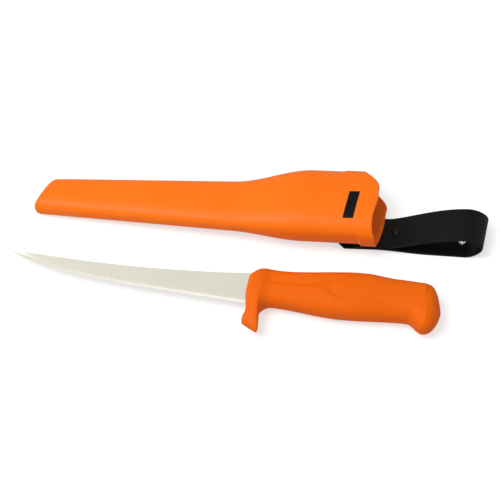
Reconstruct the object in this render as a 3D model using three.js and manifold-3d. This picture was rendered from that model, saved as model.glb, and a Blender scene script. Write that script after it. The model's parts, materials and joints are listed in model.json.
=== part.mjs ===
// A fishing knife and its belt sheath, lying side by side on a table.
// Millimetres, +Z up, the table at z = 0. The sheath's point is towards -X and its mouth towards +X.

import * as THREE from "three";
import { mergeVertices } from "three/addons/utils/BufferGeometryUtils.js";
import Module from "manifold-3d";

const { clamp, degToRad, lerp, smoothstep } = THREE.MathUtils;

// Room left between pieces that touch, and under a head or cap that is pressed home
const FIT = 0.3;
const SNUG = 0.15;

// Blade, measured from the guard: x runs back along the handle, y up to the spine, z to the side
const BLADE_LENGTH = 155.6;
const HEEL_HEIGHT = 21.6;
const SPINE_ABOVE_AXIS = 9;
const SPINE_DIP = 3.5;
const POINT_ABOVE_AXIS = 10;
const POINT_HEIGHT = 0.5;
const EDGE_RISE = 10.2; // along the straight run of the edge
const BELLY_POWER = 5.5; // how late the edge sweeps up to the point
const SPINE_THICKNESS = 2;
const POINT_THICKNESS = 0.9;
const BEVEL_HEIGHT = 1.8;
const BEVEL_THICKNESS = 0.7;
const POINT_BEVEL_THICKNESS = 0.3;
const EDGE_THICKNESS = 0.15;
const HEEL_SEAT = 6; // where the full blade ends inside the guard
const BLADE_STEPS = 22;
const BLADE_CROWDING = 1.5; // above 1 the rings lie closer towards the point

// Tang inside the handle, and the two holes that lock it
const TANG_END_WALL = 32.5; // from the tang's end to the handle's end
const TANG_HEIGHT = 10;
const TANG_DROP = 1;
const LOCK_HOLE = 5.6;
const LOCK_FIRST = 34;
const LOCK_PITCH = 34;

// Handle: reach of its top line, bottom line and sides from its axis.
// A place along it is a share of the way from its front to the butt's ridge.
const HANDLE_LENGTH = 124.5;
const BUTT_LENGTH = 11.8; // of the rounded end behind the ridge
const GRIP_THICKNESS = 20.8; // guard, palm and butt share it, so the knife lies flat on its side
const HUMP_START_TOP = 6.8; // where the handle's rings start, inside the guard
const HUMP_PLACE = 0.11;
const HUMP_TOP = 12.3;
const HUMP_END = 0.205;
const SIDE_BLEND_PLACE = 0.085; // from here the guard's sides draw in to the waist
const WAIST_PLACE = 0.15;
const WAIST_TOP = 11.7;
const WAIST_BOTTOM = 12.7;
const WAIST_THICKNESS = 17.6;
const PALM_TOP_PLACE = 0.68;
const PALM_TOP = 16;
const PALM_BOTTOM_PLACE = 0.54;
const PALM_BOTTOM = 16.2;
const PALM_SIDE_PLACE = 0.61;
const NECK_PLACE = 0.87;
const NECK_TOP = 13.9;
const NECK_BOTTOM_PLACE = 0.92;
const NECK_BOTTOM = 14.4;
const NECK_THICKNESS = 19.4;
const BUTT_TOP = 12.8;
const BUTT_BOTTOM = 20.6;
const BUTT_LEAN = 2.2; // how far the ridge's top lies behind its foot
const BUTT_END_DROP = 7; // the butt's furthest point lies this far below the axis
const BUTT_SWEEP = 84; // degrees of the rounding before its small flat end
const BUTT_FULLNESS = 2.8; // 2 is an elliptic end, and more keeps its full reach for longer
const BUTT_BLUNTNESS = 0.83; // 0.5 is an elliptic end, and 1 comes to an edge
const BUTT_FACET = 0.15; // share that the sides draw in straight from the ridge
const HANDLE_SQUARENESS = 2.6;
const HANDLE_CORNERS = 36;
const HANDLE_STEPS = 26;
const BUTT_STEPS = 7;
const THUMB_PLACE = 31;
const THUMB_DROP = 1;
const THUMB_LENGTH = 46;
const THUMB_HEIGHT = 15;
const THUMB_DEPTH = 1.1;

// Finger guard, in one piece with the handle
const GUARD_SETBACK = 2; // its front at the axis, behind the handle's zero
const GUARD_LEAN = 0.075; // how much it leans back towards its top
const GUARD_WIDTH = 9;
const GUARD_CREST = 10.1; // top of the guard, where it runs into the handle's hump
const GUARD_CREST_PLACE = 10.9;
const GUARD_CREST_WIDTH = 4.2;
const GUARD_CREST_THICKNESS = 14;
const GUARD_SHOULDER = 3.3; // above the axis, where the front starts to round over
const GUARD_SLIMMING = 7.3; // below the axis, where the sides start to draw in
const GUARD_DEPTH = 32.3;
const GUARD_TIP_SLOPE = 0.55;
const GUARD_TIP_THICKNESS = 9;
const GUARD_TIP_FLARE = 2.5;
const GUARD_TIP_ROUND = 3.6; // of its lower end, from side to side
const GUARD_HOLLOW = 1.9; // of its front between its sides and its tip
const GUARD_HOLLOW_LAG = 1.5; // above 1 the hollow is deepest nearer the tip
const GUARD_FILLET = 9; // of the handle's underside into the guard's back
const GUARD_FILLET_STEPS = 6;
const GUARD_SQUARENESS = 4;
const GUARD_CORNERS = 28;
const GUARD_STEPS = 4;

// Sheath, measured from its point along its own axis: y up to the spine side, z to the front
const SHEATH_LENGTH = 235.8;
const SHEATH_WALL = 2.2;
const FLARE_RUN = 50; // from the narrow barrel to the full flare
const MOUTH_RUN = 53.8; // from the full flare to the end
const TIP_UP = 13.6;
const TIP_DOWN = 11.4;
const TIP_HALF = 7.4;
const THROAT_UP = 16;
const THROAT_DOWN = 20.2;
const THROAT_HALF = 8.2;
const FLARE_UP = 25.9;
const FLARE_DOWN = 25.2;
const FLARE_TOP_LAG = 5; // the top flares this much further along than the other sides
const FLARE_HALF = 13.4;
const MOUTH_UP = 25;
const MOUTH_DOWN = 26.2;
const MOUTH_HALF = 13.6;
const SHEATH_SQUARENESS = 2.7;
const SHEATH_CORNERS = 40;
const TIP_SLANT = 10.5;
const TIP_SLANT_RUN = 30;
const TIP_ROUND = 5;
const TIP_STEPS = 3;
const SLANT_STEPS = 3;
const BARREL_STEPS = 3;
const FLARE_STEPS = 7;
const RIM_PEAK = 0.22; // how far above the back's middle the rim reaches furthest
const RIM_TOP_CUT = 17;
const RIM_TOP_START = 0.09; // where across the mouth the top cut starts and ends
const RIM_TOP_END = 1.1;
const RIM_TOP_SKEW = 0.1; // the cut starts later in front, and earlier at the back
const RIM_BOTTOM_CUT = 7.6;
const RIM_FRONT_CUT = 6.2;
const RIM_DIP = 2.4; // more of the bottom cut in front, and less of it at the back
const COLLAR_LENGTH = 11;
const COLLAR_RAMP = 3;
const COLLAR_HEIGHT = 1.5;
const COLLAR_FRONT_SHARE = 0.25;
const COLLAR_TOP_SHARE = 0.4;
const COLLAR_FOOT = 2; // plain run ahead of the ramp

// Label on the sheath's front
const LABEL_INSET = 29; // its lower corner, from the end of the sheath
const LABEL_WIDTH = 6.6;
const LABEL_TOP = 3;
const LABEL_BOTTOM = -16.8;
const LABEL_LEAN = 4;
const LABEL_THICKNESS = 0.4;

// Belt strap: one strip, folded into a loop, with both its ends riveted under the sheath's back
const STRAP_WIDTH = 22.8;
const STRAP_THICKNESS = 1.8;
const STRAP_OFFSET = -9.9; // its middle, from the sheath's axis
const STRAP_TAIL = 14.5; // from the swivel back to the lower layer's end
const STRAP_CHAMFER = 4;
const TONGUE_TAIL = 10; // from the swivel back to the upper layer's end
const TONGUE_ROUND = 14;
const LOOP_ROOM = 1.6; // from the end of the sheath to where the upper layer rises
const LOOP_LENGTH = 62.8; // from there to the fold
const LOOP_PARTING = 7.5; // from the swivel to where the lower layer comes down
const LOOP_EASE = 37.7; // run in which it comes down to the table
const LOOP_FOLD = 11.2; // run of its turn up into the fold
const LOOP_CREST_INSET = 13.7; // from the fold to the crest
const LOOP_CREST = -1.2; // outer face of the crest, from the sheath's axis
const LOOP_SKEW = 4.3; // how much further the loop reaches along its far edge
const LOOP_TWIST = 3; // how much higher its crest is along that edge
const LOOP_STEPS = 12;
const FOLD_EASE = 0.45; // share of a fold's run that its curve's handles take
const SWEEP_EASE = 0.33; // the same for a gentle sweep
const RISE_EASE = 0.15; // the same where the upper layer starts to rise
const CREST_EASE = 0.4; // the same where it comes to the crest
const PAD_PROUD = 0.1;
const PAD_BEHIND = 13.5; // from the swivel towards the point
const PAD_AHEAD = 9; // from the swivel towards the mouth
const PAD_WIDTH = 17;

// Rivet that holds the strap on the sheath, with its cap below
const SWIVEL_INSET = 17; // from the end of the sheath
const SWIVEL_SHANK = 4;
const SWIVEL_HEAD = 10;
const SWIVEL_HEAD_HEIGHT = 1.3;
const SWIVEL_SEAT = 12.5; // diameter of the moulded seat inside the sheath
const SWIVEL_SEAT_LIP = 0.2; // its face, above the highest hollow wall beside it
const SWIVEL_CAP = 11;
const SWIVEL_CAP_HEIGHT = 1.2;
const SWIVEL_SOCKET = 0.6;
const RIVET_CHAMFER = 0.5;
const TABLE_ROOM = 0.3; // under the cap

// Small rivet in the upper layer, with its cap below
const NECK_RIVET_RUN = 4.6; // from where the layer rises
const NECK_RIVET_SHANK = 2.4;
const NECK_RIVET_HEAD = 4.6;
const NECK_RIVET_DOME = 1.1;
const DOME_STEPS = 4;
const NECK_RIVET_CAP_HEIGHT = 1;
const NECK_RIVET_SOCKET = 0.5;

// Eyelet in the loop's lower layer, with its washer let into the underside
const EYELET_INSET = 14.6; // from the fold
const EYELET_BORE = 2.6;
const EYELET_WALL = 0.5;
const EYELET_FLANGE = 5.6;
const EYELET_FLANGE_HEIGHT = 0.6;
const EYELET_CHAMFER = 0.3;
const EYELET_WASHER = 6;
const EYELET_WASHER_HEIGHT = 0.5;
const EYELET_LIFT = 0.15; // of the washer above the table

// Where the knife lies, from the sheath's point
const KNIFE_ALONG = 146.6;
const KNIFE_APART = 60.4;
const KNIFE_TURN = -2.1;

// Facets round a turned piece
const TURNED_FACETS = 24;

// Places along the sheath's axis
const FLARE_PLACE = SHEATH_LENGTH - MOUTH_RUN;
const THROAT_PLACE = FLARE_PLACE - FLARE_RUN;
const LABEL_PLACE = SHEATH_LENGTH - LABEL_INSET;
const SWIVEL_PLACE = SHEATH_LENGTH - SWIVEL_INSET;
const STRAP_START = SWIVEL_PLACE - STRAP_TAIL;
const TONGUE_END = SWIVEL_PLACE - TONGUE_TAIL;
const LOOP_START = SHEATH_LENGTH + LOOP_ROOM;
const NECK_RIVET_PLACE = LOOP_START + NECK_RIVET_RUN;
const LOOP_END = LOOP_START + LOOP_LENGTH;
const LOOP_PARTING_PLACE = SWIVEL_PLACE + LOOP_PARTING;
const LOOP_FLAT_START = LOOP_PARTING_PLACE + LOOP_EASE;
const LOOP_FLAT_END = LOOP_END - LOOP_FOLD;
const LOOP_CREST_PLACE = LOOP_END - LOOP_CREST_INSET;
const EYELET_PLACE = LOOP_END - EYELET_INSET;

// Places along the handle
const BUTT_PLACE = HANDLE_LENGTH - BUTT_LENGTH;
const TANG_LENGTH = HANDLE_LENGTH - TANG_END_WALL;

const wasm = await Module();
wasm.setup();

// A closed solid from positions and triangles, turned so that its faces point outwards.
function closedSolid(positions, triangles) {
  const kept = [];
  let sixVolumes = 0;
  const corner = (i) => new THREE.Vector3().fromArray(positions, 3 * i);
  for (let t = 0; t < triangles.length; t += 3) {
    const [a, b, c] = [triangles[t], triangles[t + 1], triangles[t + 2]];
    if (a === b || b === c || c === a) continue;
    kept.push(a, b, c);
    sixVolumes += corner(a).dot(corner(b).cross(corner(c)));
  }
  if (sixVolumes < 0) kept.reverse();
  const vertProperties = new Float32Array(positions);
  const triVerts = new Uint32Array(kept);
  return new wasm.Manifold(new wasm.Mesh({ numProp: 3, vertProperties, triVerts }));
}

function solidOf(geometry) {
  const bare = new THREE.BufferGeometry();
  bare.setAttribute("position", geometry.getAttribute("position"));
  bare.setIndex(geometry.index);
  const merged = mergeVertices(bare);
  return closedSolid(merged.getAttribute("position").array, merged.index.array);
}

function geometryOf(solid) {
  const mesh = solid.getMesh();
  const geometry = new THREE.BufferGeometry();
  geometry.setAttribute("position", new THREE.BufferAttribute(mesh.vertProperties, 3));
  geometry.setIndex(new THREE.BufferAttribute(mesh.triVerts, 1));
  geometry.computeVertexNormals();
  return geometry;
}

// A skin over a row of closed rings with equal counts of points, with a fan over each end.
function loft(rings) {
  const count = rings[0].length;
  const points = rings.flat();
  const triangles = [];
  for (let k = 1; k < rings.length; k++) {
    for (let i = 0; i < count; i++) {
      const j = (i + 1) % count;
      const [a, b, c, d] = [(k - 1) * count + i, (k - 1) * count + j, k * count + i, k * count + j];
      triangles.push(a, b, d, a, d, c);
    }
  }
  const last = (rings.length - 1) * count;
  for (const [ring, start, turned] of [[rings[0], 0, true], [rings.at(-1), last, false]]) {
    const middle = ring.reduce((sum, p) => sum.add(p), new THREE.Vector3()).divideScalar(count);
    const hub = points.push(middle) - 1;
    for (let i = 0; i < count; i++) {
      const pair = [start + i, start + ((i + 1) % count)];
      if (turned) pair.reverse();
      triangles.push(hub, ...pair);
    }
  }
  return closedSolid(points.flatMap((p) => p.toArray()), triangles);
}

// A rounded section: reach up, down and to each side, and how square it is. place makes each point.
function section(up, down, half, squareness, corners, place) {
  const bulge = (part) => Math.sign(part) * Math.abs(part) ** (2 / squareness);
  return Array.from({ length: corners }, (_, i) => {
    const turn = (2 * Math.PI * (i + 0.5)) / corners;
    const across = Math.cos(turn);
    const side = Math.sin(turn);
    return place(bulge(across) * (across > 0 ? up : down), bulge(side) * half, across, side);
  });
}

// A smooth line through marks of [place, value], level at each mark.
function lineThrough(marks, place) {
  const next = marks.findIndex(([at]) => at >= place);
  if (next < 0) return marks.at(-1)[1];
  if (next === 0) return marks[0][1];
  const [from, start] = marks[next - 1];
  const [to, end] = marks[next];
  return lerp(start, end, smoothstep(place, from, to));
}

// Places in equal steps from the first to the last, without the first.
function spread(first, last, steps) {
  return Array.from({ length: steps }, (_, i) => lerp(first, last, (i + 1) / steps));
}

// A piece turned about the z axis from its outline of [radius, height].
function turned(outline) {
  const points = outline.map(([radius, height]) => new THREE.Vector2(radius, height));
  return solidOf(new THREE.LatheGeometry(points, TURNED_FACETS).rotateX(Math.PI / 2));
}

// An upright round bar on the z axis.
function rod(diameter, low, high) {
  const radius = diameter / 2;
  const shape = new THREE.CylinderGeometry(radius, radius, high - low, TURNED_FACETS);
  return shape.rotateX(Math.PI / 2).translate(0, 0, (low + high) / 2);
}

function cylinder(diameter, low, high, x, y) {
  return solidOf(rod(diameter, low, high).translate(x, y, 0));
}

function box(low, high) {
  const size = high.map((value, i) => value - low[i]);
  const middle = high.map((value, i) => (value + low[i]) / 2);
  return solidOf(new THREE.BoxGeometry(...size).translate(...middle));
}

// A flat outline of [x, y] points, raised from low to high along z.
function prism(outline, low, high) {
  const shape = new THREE.Shape(outline.map(([x, y]) => new THREE.Vector2(x, y)));
  const options = { depth: high - low, bevelEnabled: false };
  return solidOf(new THREE.ExtrudeGeometry(shape, options).translate(0, 0, low));
}

// Blade

const HEEL_BELOW_AXIS = HEEL_HEIGHT - SPINE_ABOVE_AXIS;

function spineLine(share) {
  const straight = lerp(SPINE_ABOVE_AXIS, POINT_ABOVE_AXIS, share);
  return straight - 4 * SPINE_DIP * share * (1 - share);
}

function edgeLine(share) {
  const belly = POINT_ABOVE_AXIS - POINT_HEIGHT + HEEL_BELOW_AXIS - EDGE_RISE;
  return EDGE_RISE * share + belly * share ** BELLY_POWER - HEEL_BELOW_AXIS;
}

function bladeRing(x, share) {
  const spine = spineLine(share);
  const edge = edgeLine(share);
  const shoulder = edge + Math.min(BEVEL_HEIGHT, (spine - edge) / 2);
  const halfAt = (thickness) => thickness / 2;
  const back = halfAt(lerp(SPINE_THICKNESS, POINT_THICKNESS, share));
  const bevel = halfAt(lerp(BEVEL_THICKNESS, POINT_BEVEL_THICKNESS, share));
  const keen = halfAt(EDGE_THICKNESS);
  const corners = [
    [spine, back],
    [shoulder, bevel],
    [edge, keen],
    [edge, -keen],
    [shoulder, -bevel],
    [spine, -back],
  ];
  return corners.map(([y, z]) => new THREE.Vector3(x, y, z));
}

const lockPlaces = [LOCK_FIRST, LOCK_FIRST + LOCK_PITCH];

// The flat bar of the tang, with room added all round it.
function tangBar(room) {
  const half = TANG_HEIGHT / 2 + room;
  const side = SPINE_THICKNESS / 2 + room;
  return box([0, -TANG_DROP - half, -side], [TANG_LENGTH + room, half - TANG_DROP, side]);
}

function bladeSolid() {
  const rings = [bladeRing(HEEL_SEAT, 0), bladeRing(0, 0)];
  for (const step of spread(0, 1, BLADE_STEPS)) {
    const share = 1 - (1 - step) ** BLADE_CROWDING;
    rings.push(bladeRing(-share * BLADE_LENGTH, share));
  }
  const holes = lockPlaces.map((x) =>
    cylinder(LOCK_HOLE, -SPINE_THICKNESS, SPINE_THICKNESS, x, -TANG_DROP),
  );
  return loft(rings).add(holes.reduce((bar, hole) => bar.subtract(hole), tangBar(0)));
}

// Handle with its guard

const HANDLE_START = GUARD_SETBACK + GUARD_WIDTH / 2;
const handleTop = [
  [HANDLE_START / BUTT_PLACE, HUMP_START_TOP],
  [HUMP_PLACE, HUMP_TOP],
  [HUMP_END, WAIST_TOP],
  [PALM_TOP_PLACE, PALM_TOP],
  [NECK_PLACE, NECK_TOP],
  [1, BUTT_TOP],
];
const handleBottom = [
  [WAIST_PLACE, WAIST_BOTTOM],
  [PALM_BOTTOM_PLACE, PALM_BOTTOM],
  [NECK_BOTTOM_PLACE, NECK_BOTTOM],
  [1, BUTT_BOTTOM],
];
const handleSide = [
  [SIDE_BLEND_PLACE, GRIP_THICKNESS / 2],
  [WAIST_PLACE, WAIST_THICKNESS / 2],
  [PALM_SIDE_PLACE, GRIP_THICKNESS / 2],
  [NECK_PLACE, NECK_THICKNESS / 2],
  [1, GRIP_THICKNESS / 2],
];

function guardFront(y) {
  return GUARD_SETBACK + GUARD_LEAN * y;
}

const FILLET_END = guardFront(-WAIST_BOTTOM) + GUARD_WIDTH + GUARD_FILLET;

// A soft hill, 1 in the middle and 0 from the given half-length on.
function hill(distance, half) {
  return Math.max(0, 1 - (distance / half) ** 2) ** 2;
}

function thumbHollow(x, y) {
  const along = hill(x - THUMB_PLACE, THUMB_LENGTH / 2);
  return THUMB_DEPTH * along * hill(y + THUMB_DROP, THUMB_HEIGHT / 2);
}

// How far the butt's leaning ridge lies behind its foot, at a height on it.
function buttLean(y) {
  return (BUTT_LEAN * (y + BUTT_BOTTOM)) / (BUTT_TOP + BUTT_BOTTOM);
}

// How much deeper the underside is where it runs into the guard's back.
function filletDepth(x) {
  const left = clamp(FILLET_END - x, 0, GUARD_FILLET);
  return GUARD_FILLET - Math.sqrt(GUARD_FILLET ** 2 - left ** 2);
}

function handleRing(x) {
  const share = x / BUTT_PLACE;
  const up = lineThrough(handleTop, share);
  const down = lineThrough(handleBottom, share) + filletDepth(x);
  const half = lineThrough(handleSide, share);
  const lean = smoothstep(share, NECK_PLACE, 1);
  return section(up, down, half, HANDLE_SQUARENESS, HANDLE_CORNERS, (y, z) => {
    const pressed = Math.min(thumbHollow(x, y), Math.abs(z));
    return new THREE.Vector3(x + lean * buttLean(y), y, z - Math.sign(z) * pressed);
  });
}

// The rounded end: each ring shrinks from the ridge towards the butt's furthest point.
function buttRing(step) {
  const sweep = degToRad(BUTT_SWEEP);
  const out = Math.sin(step * sweep);
  const size = (1 - out ** BUTT_FULLNESS) ** BUTT_BLUNTNESS;
  const up = BUTT_TOP + BUTT_END_DROP;
  const down = BUTT_BOTTOM - BUTT_END_DROP;
  const half = (GRIP_THICKNESS / 2) * size * (1 - BUTT_FACET * out);
  return section(up, down, half, HANDLE_SQUARENESS, HANDLE_CORNERS, (y, z) => {
    const ridge = BUTT_PLACE + buttLean(y - BUTT_END_DROP);
    return new THREE.Vector3(lerp(ridge, HANDLE_LENGTH, out), y * size - BUTT_END_DROP, z);
  });
}

function gripSolid() {
  const inside = spread(HANDLE_START, FILLET_END - GUARD_FILLET, GUARD_STEPS);
  const fillet = spread(FILLET_END - GUARD_FILLET, FILLET_END, GUARD_FILLET_STEPS);
  const places = spread(FILLET_END, BUTT_PLACE, HANDLE_STEPS);
  const grip = [HANDLE_START, ...inside, ...fillet, ...places].map(handleRing);
  return loft([...grip, ...spread(0, 1, BUTT_STEPS).map(buttRing)]);
}

// The guard is skinned downwards: each ring has its front, its back and its half thickness.
function guardRing(y, front, back, half, slope = 0) {
  const middle = (front + back) / 2;
  const reach = (back - front) / 2;
  return section(reach, reach, half, GUARD_SQUARENESS, GUARD_CORNERS, (along, z) =>
    new THREE.Vector3(middle + along, y - slope * along, z),
  );
}

function guardSolid() {
  const half = GRIP_THICKNESS / 2;
  const tipHalf = GUARD_TIP_THICKNESS / 2;
  const shoulder = guardFront(GUARD_SHOULDER);
  const crestFront = GUARD_CREST_PLACE - GUARD_CREST_WIDTH / 2;
  const crestBack = GUARD_CREST_PLACE + GUARD_CREST_WIDTH / 2;
  const tip = (GUARD_TIP_SLOPE * GUARD_WIDTH) / 2 - GUARD_DEPTH;
  const hump = [1, ...spread(1, 0, GUARD_STEPS)].map((drawn) => {
    const halfHere = lerp(half, GUARD_CREST_THICKNESS / 2, drawn ** 2);
    const y = lerp(GUARD_SHOULDER, GUARD_CREST, drawn);
    const front = lerp(shoulder, crestFront, drawn);
    const back = lerp(shoulder + GUARD_WIDTH, crestBack, drawn);
    return guardRing(y, front, back, halfHere);
  });
  const round = GUARD_TIP_ROUND;
  const lower = [0, ...spread(0, 1, GUARD_STEPS)].map((drop) => {
    const y = lerp(-GUARD_SLIMMING, tip + round, drop);
    const front = guardFront(y) + GUARD_HOLLOW * Math.sin(Math.PI * drop ** GUARD_HOLLOW_LAG);
    const back = guardFront(y) + GUARD_WIDTH + GUARD_TIP_FLARE * drop;
    return guardRing(y, front, back, lerp(half, tipHalf, drop), GUARD_TIP_SLOPE * drop);
  });
  const nose = spread(0, Math.PI / 2, GUARD_STEPS).map((turn) => {
    const y = tip + round * (1 - Math.sin(turn));
    const back = guardFront(y) + GUARD_WIDTH + GUARD_TIP_FLARE;
    const halfHere = tipHalf - round * (1 - Math.cos(turn));
    return guardRing(y, guardFront(y), back, halfHere, GUARD_TIP_SLOPE);
  });
  return loft([...hump, ...lower, ...nose]);
}

function handleSolid() {
  const side = SPINE_THICKNESS / 2 + FIT;
  const heelLow = [-GUARD_WIDTH, -HEEL_BELOW_AXIS - FIT, -side];
  const heelPocket = box(heelLow, [HEEL_SEAT + FIT, SPINE_ABOVE_AXIS + FIT, side]);
  const posts = lockPlaces.map((x) => cylinder(LOCK_HOLE - 2 * FIT, -2 * side, 2 * side, x, -TANG_DROP));
  const tangRoom = posts.reduce((room, post) => room.subtract(post), tangBar(FIT));
  return gripSolid().add(guardSolid()).subtract(heelPocket).subtract(tangRoom);
}

// Sheath

function taper(x, tip, throat, flare, mouth) {
  if (x < THROAT_PLACE) return lerp(tip, throat, x / THROAT_PLACE);
  if (x < FLARE_PLACE) return lerp(throat, flare, smoothstep(x, THROAT_PLACE, FLARE_PLACE));
  return lerp(flare, mouth, (x - FLARE_PLACE) / (SHEATH_LENGTH - FLARE_PLACE));
}

// Where the rim lies along the axis, at each side of the mouth.
function rimPlace(across, side) {
  const off = clamp(across - (RIM_PEAK * (1 - side)) / 2, -1, 1);
  const start = RIM_TOP_START + RIM_TOP_SKEW * side;
  const top = RIM_TOP_CUT * smoothstep(off, start, RIM_TOP_END);
  const bottom = Math.max(0, -off) * (RIM_BOTTOM_CUT + RIM_DIP * side);
  const front = side > 0 ? RIM_FRONT_CUT * side ** 2 : 0;
  return SHEATH_LENGTH - top - bottom - front;
}

// The raised collar behind the rim: strong on the lower flank, faint in front, none at the back.
function collarHeight(fromRim, across, side) {
  const flank = side > 0 ? lerp(COLLAR_FRONT_SHARE, 1, across ** 2) : across ** 2;
  const share = flank * lerp(1, COLLAR_TOP_SHARE, clamp(across, 0, 1));
  return COLLAR_HEIGHT * share * (1 - smoothstep(fromRim, COLLAR_LENGTH, COLLAR_LENGTH + COLLAR_RAMP));
}

function sheathSection(x, inset, place) {
  const up = taper(x - FLARE_TOP_LAG, TIP_UP, THROAT_UP, FLARE_UP, MOUTH_UP) - inset;
  const down = taper(x, TIP_DOWN, THROAT_DOWN, FLARE_DOWN, MOUTH_DOWN) - inset;
  const half = taper(x, TIP_HALF, THROAT_HALF, FLARE_HALF, MOUTH_HALF) - inset;
  return section(up, down, half, SHEATH_SQUARENESS, SHEATH_CORNERS, place);
}

// A ring at a place along the axis. Near the point it leans with the slanted end.
function barrelRing(x, inset) {
  const lean = TIP_SLANT * (1 - smoothstep(x, 0, TIP_SLANT_RUN));
  const width = TIP_UP + TIP_DOWN;
  return sheathSection(x, inset, (y, z) =>
    new THREE.Vector3(x + (lean * (y + TIP_DOWN)) / width, y, z),
  );
}

// A ring that follows the rim, a little way behind it.
function rimRing(fromRim, inset, withCollar) {
  return sheathSection(SHEATH_LENGTH - fromRim, inset, (y, z, across, side) => {
    const proud = withCollar ? collarHeight(fromRim, across, side) : 0;
    return new THREE.Vector3(rimPlace(across, side) - fromRim, y + proud * across, z + proud * side);
  });
}

const collarRun = COLLAR_LENGTH + COLLAR_RAMP;
const barrelPlaces = [
  ...spread(TIP_ROUND, TIP_SLANT_RUN, SLANT_STEPS),
  ...spread(TIP_SLANT_RUN, THROAT_PLACE, BARREL_STEPS),
  ...spread(THROAT_PLACE, FLARE_PLACE, FLARE_STEPS),
  (FLARE_PLACE + SHEATH_LENGTH - RIM_TOP_CUT - collarRun) / 2,
];

// All rings of one skin of the sheath, inset from the outside, from the point to the rim.
function sheathSkin(inset, withCollar) {
  const round = TIP_ROUND - inset;
  const tip = [0, ...spread(0, Math.PI / 2, TIP_STEPS)].map((turn) => {
    const shrink = round * (1 - Math.sin(turn));
    return barrelRing(inset + round * (1 - Math.cos(turn)), inset + shrink);
  });
  const barrel = barrelPlaces.map((x) => barrelRing(x, inset));
  const behindRim = [collarRun + COLLAR_FOOT, collarRun, COLLAR_LENGTH, COLLAR_LENGTH / 2, 0];
  return [...tip, ...barrel, ...behindRim.map((fromRim) => rimRing(fromRim, inset, withCollar))];
}

// What lies inside the middle of the sheath's wall, carried on past the rim.
function wallCore() {
  const inset = SHEATH_WALL / 2;
  return loft([...sheathSkin(inset, false), rimRing(-COLLAR_LENGTH, inset, false)]);
}

const PAD_FACE = -MOUTH_HALF - PAD_PROUD;

// Height of the hollow's back wall near the mouth, at a place across the sheath.
function backWallAt(y) {
  const reach = (y > 0 ? MOUTH_UP : MOUTH_DOWN) - SHEATH_WALL;
  const share = 1 - clamp(Math.abs(y) / reach, 0, 1) ** SHEATH_SQUARENESS;
  return (SHEATH_WALL - MOUTH_HALF) * share ** (1 / SHEATH_SQUARENESS);
}

const SEAT_FACE = SWIVEL_SEAT_LIP + backWallAt(STRAP_OFFSET - SWIVEL_SEAT / 2);

function strapPad() {
  const low = [SWIVEL_PLACE - PAD_BEHIND, STRAP_OFFSET - PAD_WIDTH / 2, PAD_FACE];
  const high = [SWIVEL_PLACE + PAD_AHEAD, STRAP_OFFSET + PAD_WIDTH / 2, -MOUTH_HALF / 2];
  return box(low, high);
}

function sheathSolid() {
  const outer = sheathSkin(0, true);
  const inner = sheathSkin(SHEATH_WALL, false).reverse();
  const seat = cylinder(SWIVEL_SEAT, PAD_FACE, SEAT_FACE, SWIVEL_PLACE, STRAP_OFFSET);
  const hole = cylinder(SWIVEL_SHANK + 2 * FIT, PAD_FACE * 2, 0, SWIVEL_PLACE, STRAP_OFFSET);
  const shell = loft([...outer, ...inner]).add(strapPad().subtract(wallCore()));
  return shell.add(seat).subtract(hole);
}

function labelSolid() {
  const top = [LABEL_PLACE + LABEL_LEAN, LABEL_TOP];
  const bottom = [LABEL_PLACE, LABEL_BOTTOM];
  const outline = [
    bottom,
    [bottom[0] + LABEL_WIDTH, LABEL_BOTTOM],
    [top[0] + LABEL_WIDTH, LABEL_TOP],
    top,
  ];
  const outside = loft(sheathSkin(-FIT - LABEL_THICKNESS, true));
  const inside = loft(sheathSkin(-FIT, true));
  return outside.subtract(inside).intersect(prism(outline, 0, 2 * MOUTH_HALF));
}

// Table under the sheath: it touches the point, and passes just below the rivet's cap

const strapTop = PAD_FACE - FIT;
const upperBottom = strapTop - STRAP_THICKNESS;
const lowerTop = upperBottom - SNUG;
const strapBottom = lowerTop - STRAP_THICKNESS;
const capTop = strapBottom - SNUG;
const capBottom = capTop - SWIVEL_CAP_HEIGHT;
const tableAtSwivel = capBottom - TABLE_ROOM;

const sheath = sheathSolid();

function tableSlope() {
  const { vertProperties } = sheath.getMesh();
  let slope = Infinity;
  for (let i = 0; i < vertProperties.length; i += 3) {
    const ahead = SWIVEL_PLACE - vertProperties[i];
    if (vertProperties[i] > THROAT_PLACE) continue;
    slope = Math.min(slope, (vertProperties[i + 2] - tableAtSwivel) / ahead);
  }
  return slope;
}

const slope = tableSlope();
const TILT = Math.atan(slope);

function tableAt(x) {
  return tableAtSwivel + slope * (SWIVEL_PLACE - x);
}

// Belt strap

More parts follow.
